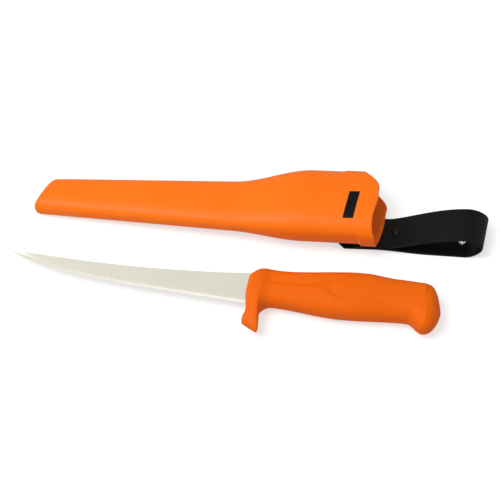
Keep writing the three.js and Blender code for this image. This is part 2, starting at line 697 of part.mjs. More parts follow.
// The strip's middle line, seen from the side: out under the sheath, round the loop and back.
function strapLine() {
  const half = STRAP_THICKNESS / 2;
  const low = strapBottom + half;
  const high = strapTop - half;
  const lying = (x) => tableAt(x) + half / Math.cos(TILT);
  const crest = LOOP_CREST - half;
  const end = LOOP_END - half;
  const turnAt = (lying(LOOP_FLAT_END) + crest) / 2;
  const rise = (crest - turnAt) * FOLD_EASE;
  const line = new THREE.Path();
  line.moveTo(STRAP_START, low);
  line.lineTo(LOOP_PARTING_PLACE, low);
  const eased = LOOP_PARTING_PLACE + LOOP_EASE * SWEEP_EASE;
  const before = LOOP_FLAT_START - LOOP_EASE * SWEEP_EASE;
  line.bezierCurveTo(eased, low, before, lying(before), LOOP_FLAT_START, lying(LOOP_FLAT_START));
  line.lineTo(LOOP_FLAT_END, lying(LOOP_FLAT_END));
  const swung = lerp(LOOP_FLAT_END, end, FOLD_EASE);
  line.bezierCurveTo(swung, lying(swung), end, turnAt - rise, end, turnAt);
  const over = lerp(LOOP_CREST_PLACE, end, FOLD_EASE);
  line.bezierCurveTo(end, turnAt + rise, over, crest, LOOP_CREST_PLACE, crest);
  const fall = lerp(LOOP_CREST_PLACE, LOOP_START, CREST_EASE);
  const landing = lerp(LOOP_START, LOOP_CREST_PLACE, RISE_EASE);
  line.bezierCurveTo(fall, crest, landing, high, LOOP_START, high);
  line.lineTo(TONGUE_END, high);
  return line.getPoints(LOOP_STEPS);
}

// A group on the upper layer's middle line where the small rivet sits, square to the layer.
function onRise() {
  const line = strapLine();
  const last = line.findLastIndex((point) => point.x > NECK_RIVET_PLACE);
  const [above, below] = [line[last], line[last + 1]];
  const share = (NECK_RIVET_PLACE - below.x) / (above.x - below.x);
  const group = new THREE.Group();
  group.position.set(NECK_RIVET_PLACE, STRAP_OFFSET, lerp(below.y, above.y, share));
  group.rotation.y = -Math.atan2(above.y - below.y, above.x - below.x);
  group.updateMatrix();
  return group;
}

// The strip's side outline: its middle line, half its thickness to each side.
function strapOutline() {
  const line = strapLine();
  const sides = [[], []];
  line.forEach((point, i) => {
    const before = line[Math.max(i - 1, 0)];
    const after = line[Math.min(i + 1, line.length - 1)];
    const way = after.clone().sub(before).normalize();
    const out = new THREE.Vector2(-way.y, way.x).multiplyScalar(STRAP_THICKNESS / 2);
    sides[0].push(point.clone().add(out));
    sides[1].push(point.clone().sub(out));
  });
  return [...sides[0], ...sides[1].reverse()];
}

// Leather folds a little askew: along the loop's far edge it reaches further and lies higher.
function slacken(strip) {
  const points = strip.getAttribute("position");
  for (let i = 0; i < points.count; i += 1) {
    const { x, y, z } = new THREE.Vector3().fromBufferAttribute(points, i);
    const aside = (y - STRAP_OFFSET) / STRAP_WIDTH;
    const skewed = x + LOOP_SKEW * aside * smoothstep(x, LOOP_FLAT_START, LOOP_END);
    const above = z - tableAt(x);
    const height = clamp(above / (LOOP_CREST - tableAt(x)), 0, 1);
    const twist = LOOP_TWIST * aside * height * smoothstep(x, LOOP_START, LOOP_CREST_PLACE);
    points.setXYZ(i, skewed, y, tableAt(skewed) + above + twist);
  }
}

// Cuts the two corners off the lower layer's end.
function cornerCuts() {
  return [-1, 1].map((side) => {
    const edge = STRAP_OFFSET + (side * STRAP_WIDTH) / 2;
    const outline = [
      [STRAP_START - FIT, edge - side * STRAP_CHAMFER],
      [STRAP_START + STRAP_CHAMFER, edge + side * FIT],
      [STRAP_START - FIT, edge + side * FIT],
    ];
    return prism(outline, strapBottom - FIT, lowerTop + SNUG / 2);
  });
}

// What is left outside the upper layer's rounded end.
function tongueCut() {
  const half = STRAP_WIDTH / 2 + FIT;
  const low = [TONGUE_END - FIT, STRAP_OFFSET - half, upperBottom - SNUG / 2];
  const high = [TONGUE_END + TONGUE_ROUND / 2, STRAP_OFFSET + half, strapTop + FIT];
  const round = cylinder(2 * TONGUE_ROUND, strapBottom, 0, TONGUE_END + TONGUE_ROUND, STRAP_OFFSET);
  return box(low, high).subtract(round);
}

// A round cut at the eyelet, square to the table and measured up from it.
function eyeletCut(diameter, low, high) {
  const bar = rod(diameter, low, high).rotateY(TILT);
  return solidOf(bar.translate(EYELET_PLACE, STRAP_OFFSET, tableAt(EYELET_PLACE)));
}

function strapSolid() {
  const shape = new THREE.Shape(strapOutline());
  const strip = new THREE.ExtrudeGeometry(shape, { depth: STRAP_WIDTH, bevelEnabled: false });
  strip.rotateX(Math.PI / 2).translate(0, STRAP_OFFSET + STRAP_WIDTH / 2, 0);
  slacken(strip);
  const neckHole = rod(NECK_RIVET_SHANK + 2 * FIT, -STRAP_THICKNESS, STRAP_THICKNESS);
  const barrel = EYELET_BORE + 2 * (EYELET_WALL + FIT);
  const sunk = EYELET_LIFT + EYELET_WASHER_HEIGHT + SNUG;
  const cuts = [
    ...cornerCuts(),
    tongueCut(),
    cylinder(SWIVEL_SHANK + 2 * FIT, strapBottom - FIT, strapTop + FIT, SWIVEL_PLACE, STRAP_OFFSET),
    solidOf(neckHole.applyMatrix4(onRise().matrix)),
    eyeletCut(barrel, -STRAP_THICKNESS, 2 * STRAP_THICKNESS),
    eyeletCut(EYELET_WASHER + 2 * FIT, -STRAP_THICKNESS, sunk),
  ];
  return cuts.reduce((strap, cut) => strap.subtract(cut), solidOf(strip));
}

// Rivets and eyelet, each with z = 0 at the height that its function names

// From the inside face of the swivel's seat.
function swivelRivet() {
  const foot = capTop - SWIVEL_SOCKET - SEAT_FACE + SNUG;
  const head = SWIVEL_HEAD / 2;
  const shank = SWIVEL_SHANK / 2;
  const top = SNUG + SWIVEL_HEAD_HEIGHT;
  return turned([
    [0, foot],
    [shank, foot],
    [shank, SNUG],
    [head, SNUG],
    [head, top - RIVET_CHAMFER],
    [head - RIVET_CHAMFER, top],
    [0, top],
  ]);
}

// A cap from its lower face, with a blind socket on top for the shank.
function rivetCap(diameter, height, shank, socket) {
  const radius = diameter / 2;
  const bore = shank / 2 + FIT;
  const floor = height - socket - SNUG;
  return turned([
    [0, 0],
    [radius - RIVET_CHAMFER, 0],
    [radius, RIVET_CHAMFER],
    [radius, height],
    [bore, height],
    [bore, floor],
    [0, floor],
  ]);
}

// From the upper layer's top.
function neckRivet() {
  const foot = -STRAP_THICKNESS - NECK_RIVET_SOCKET;
  const head = NECK_RIVET_HEAD / 2;
  const shank = NECK_RIVET_SHANK / 2;
  const dome = [0, ...spread(0, Math.PI / 2, DOME_STEPS)].map((turn) => [
    head * Math.cos(turn),
    SNUG + NECK_RIVET_DOME * Math.sin(turn),
  ]);
  return turned([[0, foot], [shank, foot], [shank, SNUG], ...dome]);
}

// From the upper face of the loop's lower layer.
function eyelet() {
  const bore = EYELET_BORE / 2;
  const outside = bore + EYELET_WALL;
  const flange = EYELET_FLANGE / 2;
  const top = SNUG + EYELET_FLANGE_HEIGHT;
  const foot = EYELET_LIFT - STRAP_THICKNESS;
  const ring = [
    [bore, foot],
    [outside, foot],
    [outside, SNUG],
    [flange, SNUG],
    [flange - EYELET_CHAMFER, top],
    [outside, top],
    [bore, top - EYELET_CHAMFER],
  ];
  return turned([...ring, ring[0]]);
}

// From its lower face.
function eyeletWasher() {
  const bore = EYELET_BORE / 2 + EYELET_WALL + SNUG;
  const radius = EYELET_WASHER / 2;
  const ring = [
    [bore, 0],
    [radius, 0],
    [radius, EYELET_WASHER_HEIGHT],
    [bore, EYELET_WASHER_HEIGHT],
  ];
  return turned([...ring, ring[0]]);
}

// Finishes

const finishes = {
  orange: { color: 0xff7a24, roughness: 0.45, metalness: 0 },
  grip: { color: 0xf26c12, roughness: 0.55, metalness: 0 },
  steel: { color: 0xd8d5ca, roughness: 0.32, metalness: 1 },
  leather: { color: 0x1b1a19, roughness: 0.5, metalness: 0 },
  label: { color: 0x151515, roughness: 0.4, metalness: 0 },
  nickel: { color: 0xc9c8c3, roughness: 0.25, metalness: 1 },
  black: { color: 0x202020, roughness: 0.35, metalness: 0.6 },
};

function piece(name, solid, finish, place = [0, 0, 0]) {
  const material = new THREE.MeshStandardMaterial(finishes[finish]);
  const mesh = new THREE.Mesh(geometryOf(solid), material);
  mesh.name = name;
  mesh.position.set(...place);
  return mesh;
}

// Assembly

function sheathGroup() {
  const group = new THREE.Group();
  const swivelAt = (z) => [SWIVEL_PLACE, STRAP_OFFSET, z];
  const cap = rivetCap(SWIVEL_CAP, SWIVEL_CAP_HEIGHT, SWIVEL_SHANK, SWIVEL_SOCKET);
  const neckCap = rivetCap(NECK_RIVET_HEAD, NECK_RIVET_CAP_HEIGHT, NECK_RIVET_SHANK, NECK_RIVET_SOCKET);
  group.add(
    piece("sheath_body", sheath, "orange"),
    piece("sheath_label", labelSolid(), "label"),
    piece("swivel_rivet", swivelRivet(), "nickel", swivelAt(SEAT_FACE)),
    piece("swivel_rivet_cap", cap, "nickel", swivelAt(capBottom)),
    piece("belt_strap", strapSolid(), "leather"),
  );
  const neck = onRise();
  const neckTop = STRAP_THICKNESS / 2;
  neck.add(
    piece("strap_rivet", neckRivet(), "black", [0, 0, neckTop]),
    piece("strap_rivet_cap", neckCap, "black", [0, 0, -neckTop - SNUG - NECK_RIVET_CAP_HEIGHT]),
  );
  const onTable = new THREE.Group();
  onTable.position.set(EYELET_PLACE, STRAP_OFFSET, tableAt(EYELET_PLACE));
  onTable.rotation.y = TILT;
  onTable.add(
    piece("strap_eyelet", eyelet(), "nickel", [0, 0, STRAP_THICKNESS]),
    piece("eyelet_washer", eyeletWasher(), "nickel", [0, 0, EYELET_LIFT]),
  );
  group.add(neck, onTable);
  group.rotation.y = -TILT;
  group.position.z = -tableAt(0) * Math.cos(TILT);
  return group;
}

function knifeGroup() {
  const group = new THREE.Group();
  const handle = piece("handle", handleSolid(), "grip");
  group.add(piece("blade", bladeSolid(), "steel"), handle);
  handle.geometry.computeBoundingBox();
  group.position.set(KNIFE_ALONG, -KNIFE_APART, -handle.geometry.boundingBox.min.z);
  group.rotation.z = degToRad(KNIFE_TURN);
  return group;
}

const fishingKnife = new THREE.Group();
const layout = new THREE.Group();
layout.add(sheathGroup(), knifeGroup());
fishingKnife.add(layout);

// The frame's origin is on the table, under the middle of the whole layout.
const outline = new THREE.Box3().setFromObject(fishingKnife, true);
const middle = outline.getCenter(new THREE.Vector3());
layout.position.set(-middle.x, -middle.y, -outline.min.z);

export default fishingKnife;
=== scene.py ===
# %% [markdown]
# # A fishing knife beside its belt sheath
# The knife is a slim steel blade in an orange moulded grip. It lies next to a hollow orange sheath that
# hangs from a folded loop of black leather. The solids of the part come in as a fixed frame, and each
# piece here is a finer copy of one solid, placed by the same sizes, so nothing has to be fitted by eye.

# %% Load the fixed frame
import json
import math

import bmesh
import bpy
import numpy as np
from mathutils import Matrix, Vector


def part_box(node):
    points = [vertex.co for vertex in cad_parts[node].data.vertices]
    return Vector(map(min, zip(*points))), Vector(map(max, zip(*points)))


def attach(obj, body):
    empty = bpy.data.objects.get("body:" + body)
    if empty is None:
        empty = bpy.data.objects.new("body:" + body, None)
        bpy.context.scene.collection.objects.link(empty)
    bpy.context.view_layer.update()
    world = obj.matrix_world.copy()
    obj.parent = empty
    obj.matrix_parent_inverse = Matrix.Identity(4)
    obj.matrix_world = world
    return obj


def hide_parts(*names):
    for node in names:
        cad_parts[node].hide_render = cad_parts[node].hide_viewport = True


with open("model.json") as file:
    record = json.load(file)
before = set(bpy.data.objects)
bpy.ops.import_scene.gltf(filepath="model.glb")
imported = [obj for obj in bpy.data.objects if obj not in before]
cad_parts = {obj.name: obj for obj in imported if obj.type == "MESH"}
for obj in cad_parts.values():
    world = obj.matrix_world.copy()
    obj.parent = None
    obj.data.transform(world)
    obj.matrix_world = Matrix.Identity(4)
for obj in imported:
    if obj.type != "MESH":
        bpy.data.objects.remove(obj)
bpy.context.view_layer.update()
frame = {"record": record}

# %% [markdown]
# ## Camera
# The picture is taken from high in front, a little to the right, with a long lens. A long lens keeps the
# two parallel shapes parallel. The camera is set by its turn, its height angle, its distance and the
# point that it looks at, which is easier to adjust than a place and three angles.

# %% Camera
VIEW_TURN = math.radians(4.55)
VIEW_HEIGHT = math.radians(57)
VIEW_DISTANCE = 0.7815
VIEW_CENTRE = Vector((0.0002, 0.00759, 0))
LENS = 85.3

towards_camera = Vector((
    math.sin(VIEW_TURN) * math.cos(VIEW_HEIGHT),
    -math.cos(VIEW_TURN) * math.cos(VIEW_HEIGHT),
    math.sin(VIEW_HEIGHT),
))
camera = bpy.data.objects.new("camera", bpy.data.cameras.new("camera"))
camera.data.lens = LENS
camera.location = VIEW_CENTRE + VIEW_DISTANCE * towards_camera
camera.rotation_euler = towards_camera.to_track_quat("Z", "Y").to_euler()
bpy.context.collection.objects.link(camera)
bpy.context.scene.camera = camera
print("camera at", [round(value, 3) for value in camera.location])

# %% [markdown]
# ## Node helpers
# Every finish below is a small node tree. These helpers add one node with its settings and sockets, and
# chain simple sums, so that a finish reads as a list of what it mixes.

# %% Node helpers
def add_node(tree, kind, sockets=None, **settings):
    made = tree.nodes.new(kind)
    for name, value in settings.items():
        setattr(made, name, value)
    for name, value in (sockets or {}).items():
        feed(tree, value, made.inputs[name])
    return made


def feed(tree, value, socket):
    if isinstance(value, bpy.types.NodeSocket):
        tree.links.new(value, socket)
    else:
        socket.default_value = value


def sum_node(tree, operation, *values):
    made = tree.nodes.new("ShaderNodeMath")
    made.operation = operation
    for value, socket in zip(values, made.inputs):
        feed(tree, value, socket)
    return made.outputs[0]


# %% [markdown]
# ## Studio
# The photograph has a white ground and soft light from above, a little to the left. The floor glows a
# little for the camera alone, so the picture stays white without more light on the object, and a faint
# shadow stays. One wide lamp models the forms, and the world fills the shadows.

# %% Floor, world and lamps
FLOOR_SIZE = 6
FLOOR_DROP = 0.0001
WORLD_LEVEL = 0.4
FLOOR_GLOW = 0.62
FLOOR_SHADE = 0.5
FLOOR_BOUNCE = 0.75


def studio_floor():
    mesh = bpy.data.meshes.new("floor")
    half = FLOOR_SIZE / 2
    corners = [(-half, -half), (half, -half), (half, half), (-half, half)]
    mesh.from_pydata([(x, y, -FLOOR_DROP) for x, y in corners], [], [(0, 1, 2, 3)])
    material = bpy.data.materials.new("white_floor")
    material.use_nodes = True
    tree = material.node_tree
    seen = tree.nodes.new("ShaderNodeLightPath").outputs["Is Camera Ray"]
    shades = {"To Min": FLOOR_BOUNCE, "To Max": FLOOR_SHADE}
    shade = add_node(tree, "ShaderNodeMapRange", {"Value": seen, **shades})
    surface = tree.nodes["Principled BSDF"]
    surface.inputs["Roughness"].default_value = 0.9
    surface.inputs["Specular IOR Level"].default_value = 0
    surface.inputs["Emission Color"].default_value = (1, 1, 1, 1)
    tree.links.new(shade.outputs["Result"], surface.inputs["Base Color"])
    tree.links.new(sum_node(tree, "MULTIPLY", seen, FLOOR_GLOW), surface.inputs["Emission Strength"])
    mesh.materials.append(material)
    floor = bpy.data.objects.new("floor", mesh)
    bpy.context.collection.objects.link(floor)


def studio_world():
    world = bpy.data.worlds.new("white_room")
    world.use_nodes = True
    tree = world.node_tree
    path = tree.nodes.new("ShaderNodeLightPath").outputs
    shown = sum_node(tree, "MAXIMUM", path["Is Camera Ray"], path["Is Glossy Ray"])
    shown = sum_node(tree, "MAXIMUM", shown, path["Is Transmission Ray"])
    level = add_node(tree, "ShaderNodeMapRange", {"Value": shown, "To Min": WORLD_LEVEL, "To Max": 1.0})
    tree.links.new(level.outputs["Result"], tree.nodes["Background"].inputs["Strength"])
    tree.nodes["Background"].inputs["Color"].default_value = (1, 1, 1, 1)
    bpy.context.scene.world = world


def lamp(name, place, size, watts):
    light = bpy.data.lights.new(name, "AREA")
    light.shape = "DISK"
    light.size = size
    light.energy = watts
    made = bpy.data.objects.new(name, light)
    made.location = place
    made.rotation_euler = Vector(place).to_track_quat("Z", "Y").to_euler()
    bpy.context.collection.objects.link(made)


studio_floor()
studio_world()
lamp("above_left", (-0.42, -0.2, 1.0), 0.6, 9.0)
bpy.context.scene.view_settings.view_transform = "Standard"

# %% [markdown]
# ## Two working frames
# The sheath lies a little tilted on its belt loop, and the knife lies flat on its side. Each is shaped in
# millimetres in its own straight frame: x along it, y across it, z out of its face. The swivel's hinge in
# the record says where the sheath's frame is, and the knife's frame is set off from it.

# %% Placing matrices
MM = 0.001
SWIVEL_PLACE = 218.8  # along the sheath from its point
STRAP_OFFSET = -9.9  # the strap's middle, across the sheath
SWIVEL_CAP_FOOT = -19.1  # the lower face of the swivel's cap
KNIFE_ALONG = 146.6
KNIFE_APART = 60.4
KNIFE_TURN = math.radians(-2.1)

swivel = next(joint for joint in frame["record"]["behaviour"]["joints"] if joint["name"] == "loop_swivel")
sheath_up = Vector(swivel["axis"]).normalized()
SHEATH_TILT = math.asin(-sheath_up.x)
sheath_turn = Matrix.Rotation(-SHEATH_TILT, 4, "Y")
swivel_mark = sheath_turn @ Vector((SWIVEL_PLACE, STRAP_OFFSET, SWIVEL_CAP_FOOT))
sheath_origin = Vector(swivel["pos_m"]) - MM * swivel_mark
sheath_place = Matrix.Translation(sheath_origin) @ sheath_turn @ Matrix.Scale(MM, 4)

handle_low, handle_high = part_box("handle")
knife_origin = sheath_origin + MM * Vector((KNIFE_ALONG, -KNIFE_APART, 0))
knife_origin.z = handle_low.z + (handle_high.z - handle_low.z) / 2
knife_place = (
    Matrix.Translation(knife_origin) @ Matrix.Rotation(KNIFE_TURN, 4, "Z") @ Matrix.Scale(MM, 4)
)
print("sheath frame", sheath_origin, "knife frame", knife_origin)

# %% [markdown]
# ## Mesh helpers
# Most pieces are skins over rows of rings. One helper turns rows of points into a closed mesh, one joins
# or cuts two meshes, and one freezes the modifiers. A finished piece is moved to its place by its points,
# so that its object stays at the origin and a pattern in Object coordinates keeps its scale.

# %% Mesh helpers
def new_piece(name, points, faces):
    mesh = bpy.data.meshes.new(name)
    mesh.from_pydata([tuple(point) for point in points], [], faces)
    mesh.validate()
    piece = bpy.data.objects.new(name, mesh)
    bpy.context.collection.objects.link(piece)
    return piece


def skin(name, rows):
    count = len(rows[0])
    points = np.concatenate(rows)
    faces = []
    for row in range(len(rows) - 1):
        start = row * count
        for i in range(count):
            j = (i + 1) % count
            faces.append((start + i, start + j, start + count + j, start + count + i))
    last = (len(rows) - 1) * count
    faces.append(tuple(range(count))[::-1])
    faces.append(tuple(range(last, last + count)))
    piece = new_piece(name, points, faces)
    outward(piece)
    return piece


def outward(piece):
    shell = bmesh.new()
    shell.from_mesh(piece.data)
    bmesh.ops.remove_doubles(shell, verts=shell.verts, dist=1e-5)
    bmesh.ops.recalc_face_normals(shell, faces=shell.faces)
    if shell.calc_volume(signed=True) < 0:
        bmesh.ops.reverse_faces(shell, faces=shell.faces)
    shell.to_mesh(piece.data)
    shell.free()


def freeze(piece):
    depsgraph = bpy.context.evaluated_depsgraph_get()
    mesh = bpy.data.meshes.new_from_object(piece.evaluated_get(depsgraph), depsgraph=depsgraph)
    piece.modifiers.clear()
    piece.data = mesh


def combine(piece, other, operation):
    modifier = piece.modifiers.new(operation, "BOOLEAN")
    modifier.operation = operation
    modifier.solver = "MANIFOLD"
    modifier.object = other
    freeze(piece)
    bpy.data.objects.remove(other)


def settle(piece, place, body, node, materials, sharp_degrees):
    """Moves a finished mesh to its place, gives it its finish and lets it stand for its solid."""
    piece.data.transform(place)
    piece.data.materials.clear()
    for material in materials:
        piece.data.materials.append(material)
    piece.data.shade_smooth()
    piece.data.set_sharp_from_angle(angle=math.radians(sharp_degrees))
    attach(piece, body)
    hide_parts(node)
    print(piece.name, len(piece.data.polygons), "faces")


def ease(value, low, high):
    share = np.clip((value - low) / (high - low), 0, 1)
    return share * share * (3 - 2 * share)


def line_through(marks, place):
    """A smooth line through marks of (place, value), level at each mark."""
    for (start, low), (end, high) in zip(marks, marks[1:]):
        if place <= end:
            return low + (high - low) * float(ease(place, start, end))
    return marks[-1][1]


def section(turns, up, down, half, squareness):
    """Points across and out of a rounded section, at the given turns from its top."""
    across, side = np.cos(turns), np.sin(turns)
    bulge = lambda part: np.sign(part) * np.abs(part) ** (2 / squareness)
    return bulge(across) * np.where(across > 0, up, down), bulge(side) * half


# %% [markdown]
# ## Orange plastics
# Sheath and grip are moulded in the same orange. The grip's colour is painted about a tenth darker than the
# sheath's, as painted shade for a grip that is lit less. The sheath has a satin skin with a faint flow of
# tone, the grip a drier, finer grain that a wet hand can hold. Both take colour, roughness and grain from
# noise at their own scales: tens of millimetres for tone, tenths of a millimetre for grain.

# %% Orange plastics
def new_finish(name):
    material = bpy.data.materials.new(name)
    material.use_nodes = True
    tree = material.node_tree
    place = tree.nodes.new("ShaderNodeTexCoord").outputs["Object"]
    return material, tree, tree.nodes["Principled BSDF"], place


def noise(tree, place, scale, detail=2.0, stretch=(1, 1, 1)):
    moved = add_node(tree, "ShaderNodeMapping", {"Vector": place, "Scale": stretch})
    sockets = {"Vector": moved.outputs["Vector"], "Scale": scale, "Detail": detail}
    return add_node(tree, "ShaderNodeTexNoise", sockets).outputs["Fac"]


def tone(tree, surface, amount, first, second):
    mixed = add_node(tree, "ShaderNodeMix", data_type="RGBA")
    feed(tree, amount, mixed.inputs["Factor"])
    feed(tree, (*first, 1), mixed.inputs["A"])
    feed(tree, (*second, 1), mixed.inputs["B"])
    tree.links.new(mixed.outputs["Result"], surface.inputs["Base Color"])


def gloss(tree, surface, amount, low, high):
    ranged = add_node(tree, "ShaderNodeMapRange", {"Value": amount, "To Min": low, "To Max": high})
    tree.links.new(ranged.outputs["Result"], surface.inputs["Roughness"])


def grain(tree, surface, height, strength, depth):
    sockets = {"Height": height, "Strength": strength, "Distance": depth}
    bump = add_node(tree, "ShaderNodeBump", sockets)
    tree.links.new(bump.outputs["Normal"], surface.inputs["Normal"])


def sheath_plastic():
    material, tree, surface, place = new_finish("sheath_plastic")
    surface.inputs["Specular IOR Level"].default_value = 0.14
    tone(tree, surface, noise(tree, place, 35), (0.95, 0.165, 0.004), (0.99, 0.19, 0.007))
    gloss(tree, surface, noise(tree, place, 260), 0.36, 0.5)
    grain(tree, surface, noise(tree, place, 3200), 0.12, 0.0001)
    return material


def grip_plastic():
    material, tree, surface, place = new_finish("grip_plastic")
    surface.inputs["Specular IOR Level"].default_value = 0.08
    # painted shade: the sheath's orange made about a tenth darker, for the grip that is lit less
    tone(tree, surface, noise(tree, place, 45), (0.83, 0.125, 0.002), (0.88, 0.145, 0.004))
    gloss(tree, surface, noise(tree, place, 300), 0.45, 0.62)
    grain(tree, surface, noise(tree, place, 2400, detail=4), 0.2, 0.00015)
    return material


sheath_orange = sheath_plastic()
grip_shaded_orange = grip_plastic()
print("finishes", sheath_orange.name, grip_shaded_orange.name)

# %% [markdown]
# ## Steel, nickel and black
# The blade is ground to a satin: fine lines run from the spine to the edge. Noise stretched along those
# lines gives them, in roughness and as a very shallow bump. The rivets and the eyelet are pressed from
# plated sheet, so they are smoother, with a faint unevenness. The label is a plain satin black film.

# %% Steel, nickel and black
def ground_steel():
    material, tree, surface, place = new_finish("ground_steel")
    surface.inputs["Metallic"].default_value = 1
    lines = noise(tree, place, 1, detail=3, stretch=(5200, 90, 90))
    tone(tree, surface, noise(tree, place, 30), (0.64, 0.62, 0.535), (0.7, 0.68, 0.59))
    gloss(tree, surface, lines, 0.2, 0.33)
    grain(tree, surface, lines, 0.05, 0.00004)
    return material


def plated(name, metal, shine, first, second, low, high):
    material, tree, surface, place = new_finish(name)
    surface.inputs["Metallic"].default_value = metal
    surface.inputs["Specular IOR Level"].default_value = shine
    patches = noise(tree, place, 900, detail=3)
    tone(tree, surface, patches, first, second)
    gloss(tree, surface, patches, low, high)
    grain(tree, surface, patches, 0.06, 0.0001)
    return material


def label_film():
    material, tree, surface, place = new_finish("label_film")
    surface.inputs["Specular IOR Level"].default_value = 0.08
    tone(tree, surface, noise(tree, place, 400), (0.002, 0.002, 0.002), (0.005, 0.0045, 0.004))
    gloss(tree, surface, noise(tree, place, 700), 0.3, 0.42)
    grain(tree, surface, noise(tree, place, 4000), 0.1, 0.00005)
    return material


blade_steel = ground_steel()
nickel = plated("nickel_plate", 1, 0.5, (0.46, 0.45, 0.43), (0.58, 0.57, 0.54), 0.24, 0.38)
black_oxide = plated("black_oxide", 0, 0.12, (0.003, 0.003, 0.003), (0.007, 0.0065, 0.006), 0.22, 0.36)
label_black = label_film()
print("finishes", blade_steel.name, nickel.name, black_oxide.name, label_black.name)

# %% [markdown]
# ## Leather
# The belt loop is one strip of smooth dyed leather. Its face has small pores between low pebbles, which
# a cell pattern gives, and broad soft marks from handling. The cut edge shows a drier, greyer core.

# %% Leather
def leather_face():
    material, tree, surface, place = new_finish("leather_face")
    cells = add_node(tree, "ShaderNodeTexVoronoi", {"Vector": place, "Scale": 1100.0}, feature="SMOOTH_F1")
    pebbles = cells.outputs["Distance"]
    marks = noise(tree, place, 60, detail=4)
    surface.inputs["Specular IOR Level"].default_value = 0.09
    tone(tree, surface, marks, (0.0015, 0.0014, 0.0013), (0.0045, 0.0042, 0.0038))
    gloss(tree, surface, marks, 0.36, 0.52)
    height = sum_node(tree, "ADD", pebbles, noise(tree, place, 2600, detail=3))
    grain(tree, surface, height, 0.18, 0.0002)
    return material


def leather_edge():
    material, tree, surface, place = new_finish("leather_edge")
    fibres = noise(tree, place, 1, detail=4, stretch=(400, 400, 3000))
    surface.inputs["Specular IOR Level"].default_value = 0.15
    tone(tree, surface, fibres, (0.02, 0.019, 0.018), (0.06, 0.057, 0.053))
    gloss(tree, surface, fibres, 0.6, 0.8)
    grain(tree, surface, fibres, 0.3, 0.0002)
    return material


leather, cut_edge = leather_face(), leather_edge()
print("finishes", leather.name, cut_edge.name)

# %% [markdown]
# ## Blade
# A fishing blade is long, slim and upswept, thickest at the spine, with a narrow bevel at the edge. Its
# spine dips a little and rises to the point, and its edge runs nearly straight before it sweeps up. Both
# lines are short formulas, and a ring across the blade at each step gives an even, faceted skin.

# %% Blade
BLADE_LENGTH = 155.6
SPINE_HIGH = 9
HEEL_LOW = 12.6
POINT_HIGH = 10
POINT_HEIGHT = 0.5
SPINE_DIP = 3.5
EDGE_RISE = 10.2
BELLY_POWER = 5.5
BLADE_THICKNESS = 2
BEVEL_HEIGHT = 1.8
HEEL_SEAT = 6


def blade_row(x):
    share = np.clip(-x / BLADE_LENGTH, 0, 1)
    spine = SPINE_HIGH + (POINT_HIGH - SPINE_HIGH) * share - 4 * SPINE_DIP * share * (1 - share)
    belly = POINT_HIGH - POINT_HEIGHT + HEEL_LOW - EDGE_RISE
    edge = EDGE_RISE * share + belly * share**BELLY_POWER - HEEL_LOW
    height = spine - edge
    bevel = min(BEVEL_HEIGHT, height / 2)
    back = (BLADE_THICKNESS - 1.1 * share) / 2
    shoulder = (0.7 - 0.4 * share) / 2
    keen = 0.05
    corner = min(0.2, height / 8)
    half = [(spine, back - corner), (spine - 0.3 * corner, back - 0.3 * corner), (spine - corner, back)]
    body = np.linspace(0, 1, 9)[1:-1] * (height - bevel - corner)
    half += [(spine - corner - drop, back + (shoulder - back) * drop / (height - bevel)) for drop in body]
    softened = (edge + 0.96 * bevel, shoulder - 0.04 * (shoulder - keen))
    half += [(edge + bevel, shoulder), softened, (edge, keen)]
    ring = half + [(y, -z) for y, z in reversed(half)]
    return np.array([(x, y, z) for y, z in ring])


def round_bar(name, diameter, low, high, place=(0, 0), turn=0.0, facets=48):
    """A bar along z, from low to high, turned about y at its place."""
    angles = np.linspace(0, 2 * math.pi, facets, endpoint=False)
    circle = np.stack([np.cos(angles), np.sin(angles)], 1) * diameter / 2
    rows = [np.column_stack([circle, np.full(facets, z)]) for z in (low, high)]
    bar = skin(name, rows)
    bar.data.transform(Matrix.Translation((*place, 0)) @ Matrix.Rotation(turn, 4, "Y"))
    return bar


def flat_bar(name, low, high):
    (x0, y0, z0), (x1, y1, z1) = low, high
    rows = [np.array([(x, y0, z0), (x, y1, z0), (x, y1, z1), (x, y0, z1)]) for x in (x0, x1)]
    return skin(name, rows)


TANG_LENGTH = 92
TANG_HALF = 5
TANG_DROP = 1
LOCK_HOLE = 5.6
LOCK_PLACES = (34, 68)


def tang(room):
    half, side = TANG_HALF + room, BLADE_THICKNESS / 2 + room
    bar = flat_bar("tang", (1, -TANG_DROP - half, -side), (TANG_LENGTH + room, half - TANG_DROP, side))
    for x in LOCK_PLACES:
        combine(bar, round_bar("lock", LOCK_HOLE - 2 * room, -4, 4, (x, -TANG_DROP)), "DIFFERENCE")
    return bar


blade_steps = 1 - (1 - np.linspace(0, 1, 140)) ** 1.5
blade = skin("blade_ground", [blade_row(x) for x in (HEEL_SEAT, *(-BLADE_LENGTH * blade_steps))])
combine(blade, tang(0), "UNION")
settle(blade, knife_place, "knife", "blade", [blade_steel], 25)

# %% [markdown]
# ## Grip
# The grip is one moulding with its finger guard. Its outline swells at the palm, pulls in before the
# butt and flares there. Rings along it follow three smooth lines: top, bottom and sides. The sides carry
# a long thumb groove and a curved crease behind it, pressed into the rings before they are skinned.

